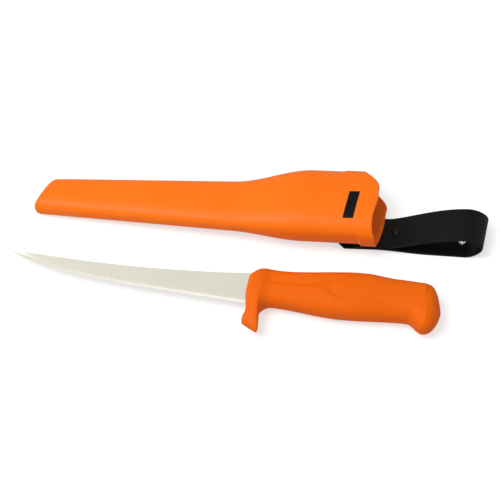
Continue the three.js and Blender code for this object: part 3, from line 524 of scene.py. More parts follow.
# %% Grip rings
HANDLE_LENGTH = 124.5
BUTT_PLACE = 112.7
BUTT_LEAN = 2.2  # the ridge's top lies this far behind its foot
GRIP_START = 6.5
GRIP_HALF = 10.4
GRIP_SQUARENESS = 2.6
GUARD_SETBACK = 2  # its front at the axis
GUARD_LEAN = 0.075  # how much it leans back towards its top
GUARD_WIDTH = 9
FILLET = 9  # of the underside into the guard's back
WAIST_LOW = 12.7
grip_hump = [(GRIP_START / BUTT_PLACE, 6.8), (0.11, 12.3), (0.205, 11.7)]
grip_top = grip_hump + [(0.68, 16), (0.87, 13.9), (1, 12.8)]
grip_bottom = [(0.15, WAIST_LOW), (0.54, 16.2), (0.92, 14.4), (1, 20.6)]
grip_side = [(0.085, GRIP_HALF), (0.15, 8.8), (0.61, GRIP_HALF), (0.87, 9.7), (1, GRIP_HALF)]
grip_turns = np.linspace(0, 2 * math.pi, 144, endpoint=False)


def guard_front(y):
    return GUARD_SETBACK + GUARD_LEAN * y


FILLET_END = guard_front(-WAIST_LOW) + GUARD_WIDTH + FILLET


def fillet_depth(x):
    left = min(max(FILLET_END - x, 0), FILLET)
    return FILLET - math.sqrt(FILLET**2 - left**2)


def butt_lean(y):
    low, high = grip_bottom[-1][1], grip_top[-1][1]
    return BUTT_LEAN * (y + low) / (low + high)


CREASE_SLOPE = 5.0
CREASE_WALL = 1.5
THUMB_DEPTH = 1.3
PALM_DEPTH = 0.9


def pressed_crease(off):
    """Deepest on its line, with a long slope above it and a short wall below it."""
    return np.exp(-((off / np.where(off > 0, CREASE_SLOPE, CREASE_WALL)) ** 2))


def thumb_groove(x, y):
    line = 0.1 + 0.03 * (x - 10) + 3.3 * np.clip((x - 42) / 12, 0, 2) ** 1.6
    return THUMB_DEPTH * pressed_crease(y - line) * ease(x, 8, 20) * (1 - ease(x, 54, 66))


def palm_crease(x, y):
    line = 1 - 7.5 * np.clip((x - 50) / 9, 0, 1) ** 0.8 - 3 * ease(x, 80, 108)
    return PALM_DEPTH * pressed_crease(y - line) * ease(x, 49, 55) * (1 - ease(x, 80, 104))


def grip_row(x):
    share = x / BUTT_PLACE
    up, down, half = [line_through(marks, share) for marks in (grip_top, grip_bottom, grip_side)]
    y, z = section(grip_turns, up, down + fillet_depth(x), half, GRIP_SQUARENESS)
    pressed = (thumb_groove(x, y) + palm_crease(x, y)) * np.abs(np.sin(grip_turns))
    z = np.sign(z) * np.maximum(np.abs(z) - pressed, 0)
    return np.stack([x + float(ease(share, 0.87, 1)) * butt_lean(y), y, z], 1)


# %% [markdown]
# Behind the leaning ridge the butt is rounded off. Its top stays high, then falls to the furthest point,
# which lies below the axis. Each ring shrinks towards that point by one formula.

# %% Butt rings
BUTT_DROP = 7  # the furthest point, below the axis
BUTT_SWEEP = math.radians(86)
BUTT_FULLNESS = 2.8
BUTT_BLUNTNESS = 0.83
BUTT_FACET = 0.15  # share that the sides draw in straight


def butt_row(step):
    out = math.sin(step * BUTT_SWEEP)
    size = (1 - out**BUTT_FULLNESS) ** BUTT_BLUNTNESS
    up, down = grip_top[-1][1] + BUTT_DROP, grip_bottom[-1][1] - BUTT_DROP
    half = GRIP_HALF * size * (1 - BUTT_FACET * out)
    y, z = section(grip_turns, up, down, half, GRIP_SQUARENESS)
    ridge = BUTT_PLACE + butt_lean(y - BUTT_DROP)
    return np.stack([ridge + (HANDLE_LENGTH - ridge) * out, y * size - BUTT_DROP, z], 1)


grip_places = np.linspace(GRIP_START, BUTT_PLACE, 150)
grip_rows = [grip_row(x) for x in grip_places] + [butt_row(step) for step in np.linspace(0, 1, 28)]
grip = skin("grip_moulded", grip_rows)
print("grip rings", len(grip_rows))

# %% [markdown]
# The finger guard is skinned downwards, from a hump that leans back to a slanted tip that flares. Its
# end is rounded from side to side. The two skins are joined, then remeshed into small even voxels and
# smoothed, which melts the join into one moulded surface as a mould does.

# %% Guard
GUARD_SHOULDER = 3.3  # above the axis, where the front starts to round over
GUARD_SIDE = -7.3  # below the axis, where the sides start to draw in
GUARD_TIP = -29.8
GUARD_SQUARENESS = 4.5
GUARD_HOLLOW = 1.6  # of the front, above the tip
CREST_FRONT = 8.8
CREST_BACK = 13
CREST_RISE = 6.8  # from the shoulder to the top of the hump
CREST_SLIMMING = 3.4
TIP_HALF = 4.5
TIP_ROUND = 3.6
TIP_SLOPE = 0.55
TIP_FLARE = 2.5
TIP_SETBACK = 0.9
guard_turns = np.linspace(0, 2 * math.pi, 96, endpoint=False)


def guard_row(y, front, back, half, slope=0.0):
    along, z = section(guard_turns, (back - front) / 2, (back - front) / 2, half, GUARD_SQUARENESS)
    return np.stack([(front + back) / 2 + along, y - slope * along, z], 1)


def guard_rows():
    shoulder = guard_front(GUARD_SHOULDER)
    rows = []
    for drawn in np.linspace(1, 0, 12):
        front = shoulder + (CREST_FRONT - shoulder) * drawn
        back = shoulder + GUARD_WIDTH + (CREST_BACK - shoulder - GUARD_WIDTH) * drawn
        y = GUARD_SHOULDER + CREST_RISE * drawn
        rows.append(guard_row(y, front, back, GRIP_HALF - CREST_SLIMMING * drawn**2))
    for y in (0, -3.5):
        rows.append(guard_row(y, guard_front(y), guard_front(y) + GUARD_WIDTH, GRIP_HALF))
    for drop in np.linspace(0, 1, 12):
        y = GUARD_SIDE + (GUARD_TIP + TIP_ROUND - GUARD_SIDE) * drop
        hollow = GUARD_HOLLOW * math.sin(math.pi * drop**1.5)
        front = guard_front(y) + hollow + TIP_SETBACK * drop**2
        back = guard_front(y) + GUARD_WIDTH + TIP_FLARE * drop
        half = GRIP_HALF + (TIP_HALF - GRIP_HALF) * drop
        rows.append(guard_row(y, front, back, half, TIP_SLOPE * drop))
    for turn in np.linspace(0, math.pi / 2, 10)[1:]:
        y = GUARD_TIP + TIP_ROUND * (1 - math.sin(turn))
        half = TIP_HALF - TIP_ROUND * (1 - math.cos(turn))
        back = guard_front(y) + GUARD_WIDTH + TIP_FLARE
        rows.append(guard_row(y, guard_front(y) + TIP_SETBACK, back, half, TIP_SLOPE))
    return rows


# %% Join grip and guard, and cut the blade's seat
GRIP_VOXEL = 0.45
SEAT_ROOM = 0.08

combine(grip, skin("guard", guard_rows()), "UNION")
remesh = grip.modifiers.new("voxels", "REMESH")
remesh.mode = "VOXEL"
remesh.voxel_size = GRIP_VOXEL
soften = grip.modifiers.new("soften", "SMOOTH")
soften.factor = 0.5
soften.iterations = 14
freeze(grip)
seat_side = BLADE_THICKNESS / 2 + SEAT_ROOM
seat_low = (-12, -HEEL_LOW - SEAT_ROOM, -seat_side)
seat_high = (HEEL_SEAT + SEAT_ROOM, SPINE_HIGH + SEAT_ROOM, seat_side)
combine(grip, flat_bar("seat", seat_low, seat_high), "DIFFERENCE")
combine(grip, tang(SEAT_ROOM), "DIFFERENCE")
settle(grip, knife_place, "knife", "handle", [grip_shaded_orange], 50)

# %% [markdown]
# ## Sheath
# The sheath is a hollow moulding: a narrow barrel for the blade, a flare that grips the handle, and an
# open mouth whose rim is cut on a slant. One function gives its reach up, down and sideways along the
# axis. The rings near the mouth follow the rim, so the raised collar behind the rim follows it too.

# %% Sheath reach and rim
SHEATH_LENGTH = 235.8
SHEATH_WALL = 2.2
THROAT_PLACE = 132
FLARE_PLACE = 182
SHEATH_SQUARENESS = 2.7
FLARE_TOP_LAG = 5  # the top flares this much further along than the other sides
TIP_ROUND = 5
TIP_SLANT = 10.5
TIP_SLANT_RUN = 30
TIP_REACH = (13.6, 11.4, 7.4)
THROAT_REACH = (16, 20.2, 8.2)
FLARE_REACH = (25.9, 25.2, 13.4)
MOUTH_REACH = (25, 26.2, 13.6)
RIM_TOP_CUT = 17
RIM_BOTTOM_CUT = 7.6
RIM_FRONT_CUT = 6.2
RIM_DIP = 2.4  # more of the bottom cut in front, and less of it at the back
COLLAR_LENGTH = 11
COLLAR_RAMP = 1.8
COLLAR_HEIGHT = 1.5
COLLAR_LEAN = 1.5  # the collar is longer at the top, and shorter at the bottom
sheath_turns = np.linspace(0, 2 * math.pi, 192, endpoint=False)


def taper(x, tip, throat, flare, mouth):
    out = (flare - throat) * ease(x, THROAT_PLACE - 2, FLARE_PLACE)
    end = (mouth - flare) * np.clip((x - FLARE_PLACE) / (SHEATH_LENGTH - FLARE_PLACE), 0, 1)
    return tip + (throat - tip) * np.clip(x / THROAT_PLACE, 0, 1) + out + end


def sheath_reach(x):
    up, down, half = zip(TIP_REACH, THROAT_REACH, FLARE_REACH, MOUTH_REACH)
    return [taper(x - FLARE_TOP_LAG, *up), taper(x, *down), taper(x, *half)]


def rim_place(across, side):
    off = np.clip(across - 0.11 * (1 - side), -1, 1)
    top = RIM_TOP_CUT * ease(off, 0.09 + 0.1 * side, 1.1)
    bottom = np.maximum(0, -off) * (RIM_BOTTOM_CUT + RIM_DIP * side)
    front = np.where(side > 0, RIM_FRONT_CUT * side**2, 0)
    return SHEATH_LENGTH - top - bottom - front


def collar_height(from_rim, across, side):
    flank = np.where(side > 0, 0.25 + 0.75 * across**2, across**2)
    share = flank * (1 - 0.6 * np.clip(across, 0, 1))
    start = COLLAR_LENGTH + COLLAR_LEAN * across
    return COLLAR_HEIGHT * share * (1 - ease(from_rim, start, start + COLLAR_RAMP))


# %% [markdown]
# Every point of the sheath's skin is found by how far it is along, its turn round the axis and how deep
# it lies in the wall. The flat pad that the strap is riveted to, and the round seat inside for the
# rivet's head, are pressed into the back of the outer and the inner skin by a soft-edged weight.

# %% Sheath skins
PAD_FACE = -13.7
PAD_BEHIND = 13.5  # from the swivel towards the point
PAD_AHEAD = 9  # from the swivel towards the mouth
PAD_HALF = 8.5
SEAT_FACE = -9.27
SEAT_RADIUS = 5.8
SEAT_SOFT = 0.8


def window(value, low, high, soft):
    return ease(value, low - soft, low) * (1 - ease(value, high, high + soft))


def sheath_points(x, inset, proud=0.0):
    up, down, half = [reach - inset for reach in sheath_reach(x)]
    y, z = section(sheath_turns, up, down, half, SHEATH_SQUARENESS)
    y, z = y + proud * np.cos(sheath_turns), z + proud * np.sin(sheath_turns)
    lean = TIP_SLANT * (1 - ease(x, 0, TIP_SLANT_RUN))
    along = x + lean * (y + TIP_REACH[1]) / (TIP_REACH[0] + TIP_REACH[1])
    return np.stack([along + 0 * y, y, z], 1)


def press_pad(points):
    x, y, z = points.T
    along = window(x, SWIVEL_PLACE - PAD_BEHIND, SWIVEL_PLACE + PAD_AHEAD, 1)
    wide = window(y, STRAP_OFFSET - PAD_HALF, STRAP_OFFSET + PAD_HALF, 1)
    points[:, 2] = np.where(z < 0, z + (PAD_FACE - z) * along * wide, z)
    return points


def press_seat(points):
    x, y, z = points.T
    off = np.hypot(x - SWIVEL_PLACE, y - STRAP_OFFSET)
    weight = 1 - ease(off, SEAT_RADIUS, SEAT_RADIUS + SEAT_SOFT)
    points[:, 2] = np.where(z < 0, z + (np.maximum(z, SEAT_FACE) - z) * weight, z)
    return points


# %% [markdown]
# The rows run up the outside from the point, round the lip, and back down the inside. Near the mouth they
# lie close together, because the collar's ramp is only two millimetres long.

# %% Sheath body
LIP_ROUND = 0.9
SWIVEL_HOLE = 4.6
RIM_RUN = 26  # how far behind the rim the rings follow it
across, side = np.cos(sheath_turns), np.sin(sheath_turns)
rim = rim_place(across, side)


def sheath_side(inset, outside):
    round_over = TIP_ROUND - inset
    rows = []
    for turn in np.linspace(0.12, math.pi / 2, 12):
        shrink = round_over * (1 - math.sin(turn))
        rows.append(sheath_points(inset + round_over * (1 - math.cos(turn)), inset + shrink))
    planar = np.concatenate([np.linspace(6, 30, 16), np.linspace(34, 128, 24), np.linspace(131, 170, 30)])
    rows += [sheath_points(x, inset) for x in planar]
    for share in np.linspace(0, 1, 18)[1:-1]:
        rows.append(sheath_points(planar[-1] + (rim - RIM_RUN - planar[-1]) * share, inset))
    for from_rim in np.linspace(RIM_RUN, LIP_ROUND, 52):
        proud = collar_height(from_rim, across, side) if outside else 0
        rows.append(sheath_points(rim - from_rim, inset, proud))
    return [press_pad(row) if outside else press_seat(row) for row in rows]


def sheath_lip():
    proud = collar_height(0, across, side)
    rows = []
    for turn in np.linspace(0, math.pi / 2, 7)[1:]:
        inset = LIP_ROUND * (1 - math.cos(turn))
        rows.append(sheath_points(rim - LIP_ROUND * (1 - math.sin(turn)), inset, proud))
    for turn in np.linspace(0, math.pi / 2, 7)[:-1]:
        inset = SHEATH_WALL - LIP_ROUND * (1 - math.sin(turn))
        rows.append(sheath_points(rim - LIP_ROUND * (1 - math.cos(turn)), inset))
    return rows


inner_rows = sheath_side(SHEATH_WALL, False)[::-1]
sheath = skin("sheath_moulded", sheath_side(0, True) + sheath_lip() + inner_rows)
rivet_hole = round_bar("rivet_hole", SWIVEL_HOLE, -20, 0, (SWIVEL_PLACE, STRAP_OFFSET))
combine(sheath, rivet_hole, "DIFFERENCE")
settle(sheath, sheath_place, "sheath", "sheath_body", [sheath_orange], 40)

# %% [markdown]
# ## Label
# A small slanted black film sits on the front, near the mouth. It is plain. A grid over its outline is
# lifted onto the sheath's curved front, then given its thickness and a tiny bevel.

# %% Label
LABEL_PLACE = 206.8
LABEL_WIDTH = 6.6
LABEL_LOW, LABEL_HIGH = -16.8, 3
LABEL_LEAN = 4
LABEL_PROUD = 0.35


def front_height(x, y):
    up, down, half = sheath_reach(x)
    share = np.clip(np.abs(y) / np.where(y > 0, up, down), 0, 1)
    lean = np.sign(y) * share ** (SHEATH_SQUARENESS / 2)
    out = np.sqrt(1 - lean**2)
    proud = collar_height(rim_place(lean, out) - x, lean, out)
    return half * (1 - share**SHEATH_SQUARENESS) ** (1 / SHEATH_SQUARENESS) + proud * out


def label():
    wide, tall = 14, 40
    points, faces = [], []
    for v in np.linspace(0, 1, tall):
        for u in np.linspace(0, 1, wide):
            x = LABEL_PLACE + LABEL_LEAN * v + LABEL_WIDTH * u
            y = LABEL_LOW + (LABEL_HIGH - LABEL_LOW) * v
            points.append((x, y, float(front_height(x, y)) + 0.02))
    for row in range(tall - 1):
        for i in range(row * wide, row * wide + wide - 1):
            faces.append((i, i + 1, i + wide + 1, i + wide))
    piece = new_piece("label_film", points, faces)
    solid = piece.modifiers.new("thickness", "SOLIDIFY")
    solid.thickness = LABEL_PROUD
    solid.offset = 1
    edge = piece.modifiers.new("edge", "BEVEL")
    edge.width = 0.12
    edge.segments = 2
    freeze(piece)
    return piece


settle(label(), sheath_place, "sheath", "sheath_label", [label_black], 35)

# %% [markdown]
# ## Belt strap
# One strip runs out from under the sheath, folds over a belt and comes back under the sheath, where one
# rivet holds both ends. Its middle line is a Bezier path. A node tree lays a grid along that path by
# length, so the strip keeps its true length, and shapes both ends: cut corners below, a round end above.

# %% Strap path
STRAP_WIDTH = 22.8
STRAP_THICKNESS = 1.8
STRAP_START, TONGUE_END = 204.3, 208.8
LOOP_PARTING, LOOP_START = 226.3, 237.4
LOOP_FLAT_START, LOOP_FLAT_END = 264, 289
LOOP_CREST_PLACE, LOOP_END = 286.5, 300.2
LOOP_CREST = -1.2
LOOP_SKEW = 4.3  # how much further the loop reaches along its far edge
LOOP_TWIST = 3  # how much higher its crest is along that edge
FOLD_EASE = 0.45  # share of a fold's run that its handles take
SWEEP_EASE = 0.33  # the same where the lower layer comes down
RISE_EASE = 0.15  # the same where the upper layer starts to rise
CREST_EASE = 0.4  # the same where it comes to the crest
FIT = 0.3
SNUG = 0.15
STRAP_TOP = PAD_FACE - FIT
STRAP_FOOT = STRAP_TOP - 2 * STRAP_THICKNESS - SNUG
TABLE_UNDER_SWIVEL = SWIVEL_CAP_FOOT - FIT


def table_at(x):
    return TABLE_UNDER_SWIVEL + math.tan(SHEATH_TILT) * (SWIVEL_PLACE - x)


def strap_knots():
    """Each knot is a point with the handle before it and the handle after it, as (x, z)."""
    half = STRAP_THICKNESS / 2
    low, high, crest, end = STRAP_FOOT + half, STRAP_TOP - half, LOOP_CREST - half, LOOP_END - half
    lying = lambda x: (x, table_at(x) + half / math.cos(SHEATH_TILT))
    turn = (lying(LOOP_FLAT_END)[1] + crest) / 2
    lift = (crest - turn) * FOLD_EASE
    fall = (LOOP_FLAT_START - LOOP_PARTING) * SWEEP_EASE
    climb = LOOP_CREST_PLACE - LOOP_START
    over = LOOP_CREST_PLACE + (end - LOOP_CREST_PLACE) * FOLD_EASE
    sink = LOOP_CREST_PLACE - CREST_EASE * climb
    swung = lying(LOOP_FLAT_END + (end - LOOP_FLAT_END) * FOLD_EASE)
    return [
        ((STRAP_START, low), (STRAP_START - 5, low), (STRAP_START + 7, low)),
        ((LOOP_PARTING, low), (LOOP_PARTING - 7, low), (LOOP_PARTING + fall, low)),
        (lying(LOOP_FLAT_START), lying(LOOP_FLAT_START - fall), lying(LOOP_FLAT_START + 8)),
        (lying(LOOP_FLAT_END), lying(LOOP_FLAT_END - 8), swung),
        ((end, turn), (end, turn - lift), (end, turn + lift)),
        ((LOOP_CREST_PLACE, crest), (over, crest), (sink, crest)),
        ((LOOP_START, high), (LOOP_START + RISE_EASE * climb, high), (LOOP_START - 9, high)),
        ((TONGUE_END, high), (TONGUE_END + 9, high), (TONGUE_END - 2, high)),
    ]


def slacken(points):
    """Leather folds a little askew: along its far edge the loop reaches further and lies higher."""
    x, y, z = points.T
    aside, above = (y - STRAP_OFFSET) / STRAP_WIDTH, z - table_at(x)
    height = np.clip(above / (LOOP_CREST - table_at(x)), 0, 1)
    skewed = x + LOOP_SKEW * aside * ease(x, LOOP_FLAT_START, LOOP_END)
    twist = LOOP_TWIST * aside * height * ease(x, LOOP_START, LOOP_CREST_PLACE)
    return np.stack([skewed, y, table_at(skewed) + above + twist], 1)


def rise_at(x):
    """Height and slope of the upper layer's middle line, where it rises to the crest."""
    crest, start = strap_knots()[5:7]
    a, b, c, d = [np.array(corner)[:, None] for corner in (crest[0], crest[2], start[1], start[0])]
    t = np.linspace(0, 1, 500)
    along, height = a * (1 - t) ** 3 + 3 * b * t * (1 - t) ** 2 + 3 * c * t**2 * (1 - t) + d * t**3
    near = np.argmin(np.abs(along - x))
    slope = (height[near - 1] - height[near + 1]) / (along[near - 1] - along[near + 1])
    return height[near], math.atan(slope)


def bezier_path(name, knots, steps):
    curve = bpy.data.curves.new(name, "CURVE")
    curve.dimensions = "3D"
    curve.resolution_u = steps
    spline = curve.splines.new("BEZIER")
    spline.bezier_points.add(len(knots) - 1)
    for point, knot in zip(spline.bezier_points, knots):
        point.handle_left_type = point.handle_right_type = "FREE"
        point.co, point.handle_left, point.handle_right = [(x, STRAP_OFFSET, z) for x, z in knot]
    path = bpy.data.objects.new(name, curve)
    bpy.context.collection.objects.link(path)
    return path


# %% Strap tree
def new_tree(name, sockets):
    tree = bpy.data.node_groups.new(name, "GeometryNodeTree")
    tree.interface.new_socket("Mesh", in_out="OUTPUT", socket_type="NodeSocketGeometry")
    for label_text, kind in sockets:
        tree.interface.new_socket(label_text, in_out="INPUT", socket_type="NodeSocket" + kind)
    return tree, tree.nodes.new("NodeGroupInput").outputs


def close_tree(tree, mesh, material):
    """Every tree ends the same way: real geometry, smooth, with its material."""
    real = add_node(tree, "GeometryNodeRealizeInstances", {"Geometry": mesh})
    even = add_node(tree, "GeometryNodeSetShadeSmooth", {"Geometry": real.outputs["Geometry"]})
    dyed = add_node(tree, "GeometryNodeSetMaterial", {"Geometry": even.outputs["Geometry"]})
    feed(tree, material, dyed.inputs["Material"])
    output = tree.nodes.new("NodeGroupOutput")
    tree.links.new(dyed.outputs["Geometry"], output.inputs["Mesh"])


def strap_tree():
    sizes = [("Path", "Object"), ("Width", "Float"), ("Cut Corner", "Float"), ("Tongue Round", "Float")]
    steps = [("Steps Along", "Int"), ("Steps Across", "Int"), ("Leather", "Material")]
    tree, given = new_tree("strap_along_path", sizes + steps)
    calc = lambda operation, *values: sum_node(tree, operation, *values)
    path = add_node(tree, "GeometryNodeObjectInfo", {"Object": given["Path"]}).outputs["Geometry"]
    length = add_node(tree, "GeometryNodeCurveLength", {"Curve": path}).outputs["Length"]
    counts = {"Vertices X": given["Steps Along"], "Vertices Y": given["Steps Across"]}
    strip = add_node(tree, "GeometryNodeMeshGrid", {"Size X": 1.0, "Size Y": given["Width"], **counts})
    spot = tree.nodes.new("GeometryNodeInputPosition").outputs["Position"]
    spot = add_node(tree, "ShaderNodeSeparateXYZ", {"Vector": spot}).outputs
    aside = calc("ABSOLUTE", spot["Y"])
    plain = calc("SUBTRACT", calc("MULTIPLY", given["Width"], 0.5), given["Cut Corner"])
    first = calc("MAXIMUM", calc("SUBTRACT", aside, plain), 0.0)
    radius = given["Tongue Round"]
    arc = calc("SQRT", calc("SUBTRACT", calc("POWER", radius, 2.0), calc("POWER", aside, 2.0)))
    last = calc("ADD", calc("SUBTRACT", length, radius), arc)
    share = calc("ADD", spot["X"], 0.5)
    reach = calc("MULTIPLY_ADD", calc("SUBTRACT", last, first), share, first)
    line = add_node(tree, "GeometryNodeSampleCurve", {"Curves": path, "Length": reach}, mode="LENGTH")
    out = add_node(tree, "ShaderNodeCombineXYZ", {"Y": spot["Y"]}).outputs["Vector"]
    place = add_node(tree, "ShaderNodeVectorMath", {0: line.outputs["Position"], 1: out}, operation="ADD")
    laid = add_node(tree, "GeometryNodeSetPosition", {"Geometry": strip.outputs["Mesh"]})
    feed(tree, place.outputs["Vector"], laid.inputs["Position"])
    close_tree(tree, laid.outputs["Geometry"], given["Leather"])
    return tree


def grow(name, tree, values):
    """Runs a tree on an empty mesh with the given inputs, and keeps the mesh that it makes."""
    piece = bpy.data.objects.new(name, bpy.data.meshes.new(name))
    bpy.context.collection.objects.link(piece)
    modifier = piece.modifiers.new(tree.name, "NODES")
    modifier.node_group = tree
    for item in tree.interface.items_tree:
        if item.in_out == "INPUT":
            modifier[item.identifier] = values[item.name]
    freeze(piece)
    return piece


# %% [markdown]
# The sheet then gets its thickness and rounded edges from modifiers, with the cut edge in its own finish.
# Round cutters make the rivet holes and the washer's recess, because the eyelet's hole can be seen.

# %% Belt strap
EYELET_PLACE = 285.6
NECK_RIVET_PLACE = 242
EYELET_HOLE = 4.2
WASHER_RECESS = 6.6
NECK_HOLE = 3

path = bezier_path("strap_path", strap_knots(), 48)
sizes = {"Width": STRAP_WIDTH, "Cut Corner": 4.0, "Tongue Round": 14.0}
counts = {"Steps Along": 240, "Steps Across": 25}
strap = grow("strap_folded", strap_tree(), {"Path": path, "Leather": leather, **sizes, **counts})
bpy.data.objects.remove(path)
thick = strap.modifiers.new("thickness", "SOLIDIFY")
thick.thickness = STRAP_THICKNESS
thick.offset = 0
thick.material_offset_rim = 1
strap.data.materials.append(cut_edge)
rounded = strap.modifiers.new("rounded_edge", "BEVEL")
rounded.width = 0.45
rounded.segments = 3
rounded.angle_limit = math.radians(50)
freeze(strap)
corners = np.empty(3 * len(strap.data.vertices), dtype=np.float32)
strap.data.vertices.foreach_get("co", corners)
strap.data.vertices.foreach_set("co", slacken(corners.reshape(-1, 3)).astype(np.float32).ravel())

neck_height, neck_slope = rise_at(NECK_RIVET_PLACE)


def cut_round(diameter, low, high, x, z, turn):
    bar = round_bar("cutter", diameter, low, high, (x, STRAP_OFFSET), turn)
    bar.data.transform(Matrix.Translation((0, 0, z)))
    combine(strap, bar, "DIFFERENCE")


cut_round(SWIVEL_HOLE, STRAP_FOOT - 1, STRAP_TOP + 0.1, SWIVEL_PLACE, 0, 0)
cut_round(NECK_HOLE, -2, 2, NECK_RIVET_PLACE, neck_height, -neck_slope)
cut_round(EYELET_HOLE, -3, 5, EYELET_PLACE, table_at(EYELET_PLACE), SHEATH_TILT)
cut_round(WASHER_RECESS, -3, 0.8, EYELET_PLACE, table_at(EYELET_PLACE), SHEATH_TILT)
settle(strap, sheath_place, "belt_loop", "belt_strap", [leather, cut_edge], 50)

# %% [markdown]
# ## Rivets and eyelet
# Every fastener here is a turned or pressed piece, so one node tree makes them all: it rounds the corners
# of a profile and turns it about the axis. A profile that starts and ends on the axis gives a solid
# piece, and a closed one gives a ring.

# %% Turning tree
def turning_tree():
    sockets = [("Profile", "Object"), ("Corner Round", "Float"), ("Sides", "Int"), ("Ring", "Int")]
    tree, given = new_tree("turned_from_profile", sockets + [("Finish", "Material")])
    calc = lambda operation, *values: sum_node(tree, operation, *values)
    profile = add_node(tree, "GeometryNodeObjectInfo", {"Object": given["Profile"]}).outputs["Geometry"]
    fillet = add_node(tree, "GeometryNodeFilletCurve", {"Curve": profile}, mode="POLY")
    feed(tree, 5, fillet.inputs["Count"])
    feed(tree, given["Corner Round"], fillet.inputs["Radius"])
    fillet.inputs["Limit Radius"].default_value = True
    dots = add_node(tree, "GeometryNodeCurveToPoints", {"Curve": fillet.outputs["Curve"]}, mode="EVALUATED")
    dots = dots.outputs["Points"]
    count = add_node(tree, "GeometryNodeAttributeDomainSize", {"Geometry": dots}, component="POINTCLOUD")
    count = count.outputs["Point Count"]
    rows = calc("ADD", count, given["Ring"])
    grid = add_node(tree, "GeometryNodeMeshGrid", {"Size X": 1.0, "Size Y": 1.0, "Vertices Y": rows})
    feed(tree, calc("ADD", given["Sides"], 1.0), grid.inputs["Vertices X"])
    number = tree.nodes.new("GeometryNodeInputIndex").outputs["Index"]
    dot = calc("MODULO", calc("MODULO", number, rows), count)
    step = calc("DIVIDE", math.tau, given["Sides"])
    angle = calc("MULTIPLY", calc("FLOOR", calc("DIVIDE", number, rows)), step)
    spot = tree.nodes.new("GeometryNodeInputPosition").outputs["Position"]
    chosen = {"Geometry": dots, "Index": dot}
    taken = add_node(tree, "GeometryNodeSampleIndex", chosen, data_type="FLOAT_VECTOR")
    feed(tree, spot, taken.inputs["Value"])
    swing = {"Vector": taken.outputs["Value"], "Angle": angle}
    turned = add_node(tree, "ShaderNodeVectorRotate", swing, rotation_type="Z_AXIS")
    laid = add_node(tree, "GeometryNodeSetPosition", {"Geometry": grid.outputs["Mesh"]})
    feed(tree, turned.outputs["Vector"], laid.inputs["Position"])
    closed = add_node(tree, "GeometryNodeMergeByDistance", {"Geometry": laid.outputs["Geometry"]})
    feed(tree, 1e-5, closed.inputs["Distance"])
    close_tree(tree, closed.outputs["Geometry"], given["Finish"])
    return tree


turning = turning_tree()
print("tree", turning.name, len(turning.nodes), "nodes")

# %% Profiles and placing
def profile_curve(points, ring):
    curve = bpy.data.curves.new("profile", "CURVE")
    curve.dimensions = "3D"
    spline = curve.splines.new("POLY")
    spline.points.add(len(points) - 1)
    for knot, (radius, height) in zip(spline.points, points):
        knot.co = (radius, 0, height, 1)
    spline.use_cyclic_u = ring
    made = bpy.data.objects.new("profile", curve)
    bpy.context.collection.objects.link(made)
    return made


def turned_piece(name, points, place, body, node, finish, corner, ring=False):
    profile = profile_curve(points, ring)
    sizes = {"Corner Round": corner, "Sides": 72, "Ring": int(ring)}
    piece = grow(name, turning, {"Profile": profile, "Finish": finish, **sizes})
    bpy.data.objects.remove(profile)
    outward(piece)
    settle(piece, place, body, node, [finish], 60)


def at_sheath(x, z, turn=0.0, lift=0.0):
    """A place in the strap's middle, turned about y and then lifted square to the turned face."""
    flat = Matrix.Translation((x, STRAP_OFFSET, z)) @ Matrix.Rotation(turn, 4, "Y")
    return sheath_place @ flat @ Matrix.Translation((0, 0, lift))


def at_neck(lift):
    return at_sheath(NECK_RIVET_PLACE, neck_height, -neck_slope, lift)


def at_eyelet(lift):
    return at_sheath(EYELET_PLACE, table_at(EYELET_PLACE), SHEATH_TILT, lift)


# %% [markdown]
# The swivel rivet holds the strap to the sheath: its head sits on the seat inside, its cap is pressed on
# below. A small black rivet sits in the upper layer, square to it, and a bright eyelet with its washer is
# set in the lower layer.

# %% Rivets and eyelet
def cap_profile(radius, height, bore, floor):
    rim_turn = [(radius - 0.5, 0), (radius, 0.5), (radius, height)]
    return [(0, 0), *rim_turn, (bore, height), (bore, floor), (0, floor)]


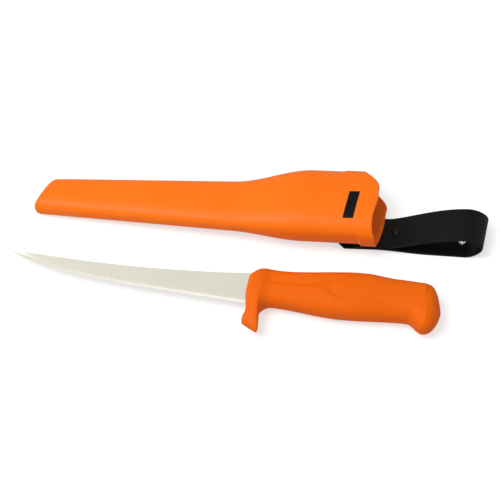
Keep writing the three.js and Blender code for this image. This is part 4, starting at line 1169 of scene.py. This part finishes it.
SWIVEL_SOCKET = 0.6  # how deep the shank sits in its cap
swivel_foot = STRAP_FOOT - SWIVEL_SOCKET - SEAT_FACE
swivel_shank = [(0, swivel_foot), (2, swivel_foot), (2, SNUG)]
swivel_rivet = swivel_shank + [(5, SNUG), (5, 0.8), (4.2, 1.45), (0, 1.45)]
turned_piece(
    "swivel_rivet_head", swivel_rivet, at_sheath(SWIVEL_PLACE, SEAT_FACE), "sheath", "swivel_rivet",
    nickel, 0.3,
)
turned_piece(
    "swivel_cap_pressed", cap_profile(5.5, 1.2, 2.3, 0.45), at_sheath(SWIVEL_PLACE, SWIVEL_CAP_FOOT),
    "sheath", "swivel_rivet_cap", nickel, 0.2,
)
NECK_HEAD = 2.3  # radius of the small rivet's head and of its cap
NECK_DOME = 1.1
neck_top = STRAP_THICKNESS / 2
neck_foot = -STRAP_THICKNESS - 0.5
bends = np.linspace(0, math.pi / 2, 12)[:-1]
dome = [(NECK_HEAD * math.cos(turn), SNUG + NECK_DOME * math.sin(turn)) for turn in bends]
neck_rivet = [(0, neck_foot), (1.2, neck_foot), (1.2, SNUG), *dome, (0, SNUG + NECK_DOME)]
turned_piece(
    "neck_rivet_domed", neck_rivet, at_neck(neck_top), "belt_loop", "strap_rivet",
    black_oxide, 0.08,
)
turned_piece(
    "neck_cap_pressed", cap_profile(NECK_HEAD, 1, 1.5, 0.35), at_neck(-neck_top - SNUG - 1),
    "belt_loop", "strap_rivet_cap", black_oxide, 0.15,
)
EYELET_LIFT = 0.15  # of the washer above the table
eyelet_foot = EYELET_LIFT - STRAP_THICKNESS
barrel = [(1.3, eyelet_foot), (1.8, eyelet_foot), (1.8, SNUG)]
flange = [(2.8, SNUG), (2.55, 0.75), (1.9, 0.75), (1.3, 0.4)]
turned_piece(
    "eyelet_set", barrel + flange, at_eyelet(STRAP_THICKNESS), "belt_loop", "strap_eyelet",
    nickel, 0.2, ring=True,
)
washer = [(1.95, 0), (3, 0), (3, 0.5), (1.95, 0.5)]
turned_piece(
    "eyelet_washer_flat", washer, at_eyelet(EYELET_LIFT), "belt_loop", "eyelet_washer",
    nickel, 0.1, ring=True,
)
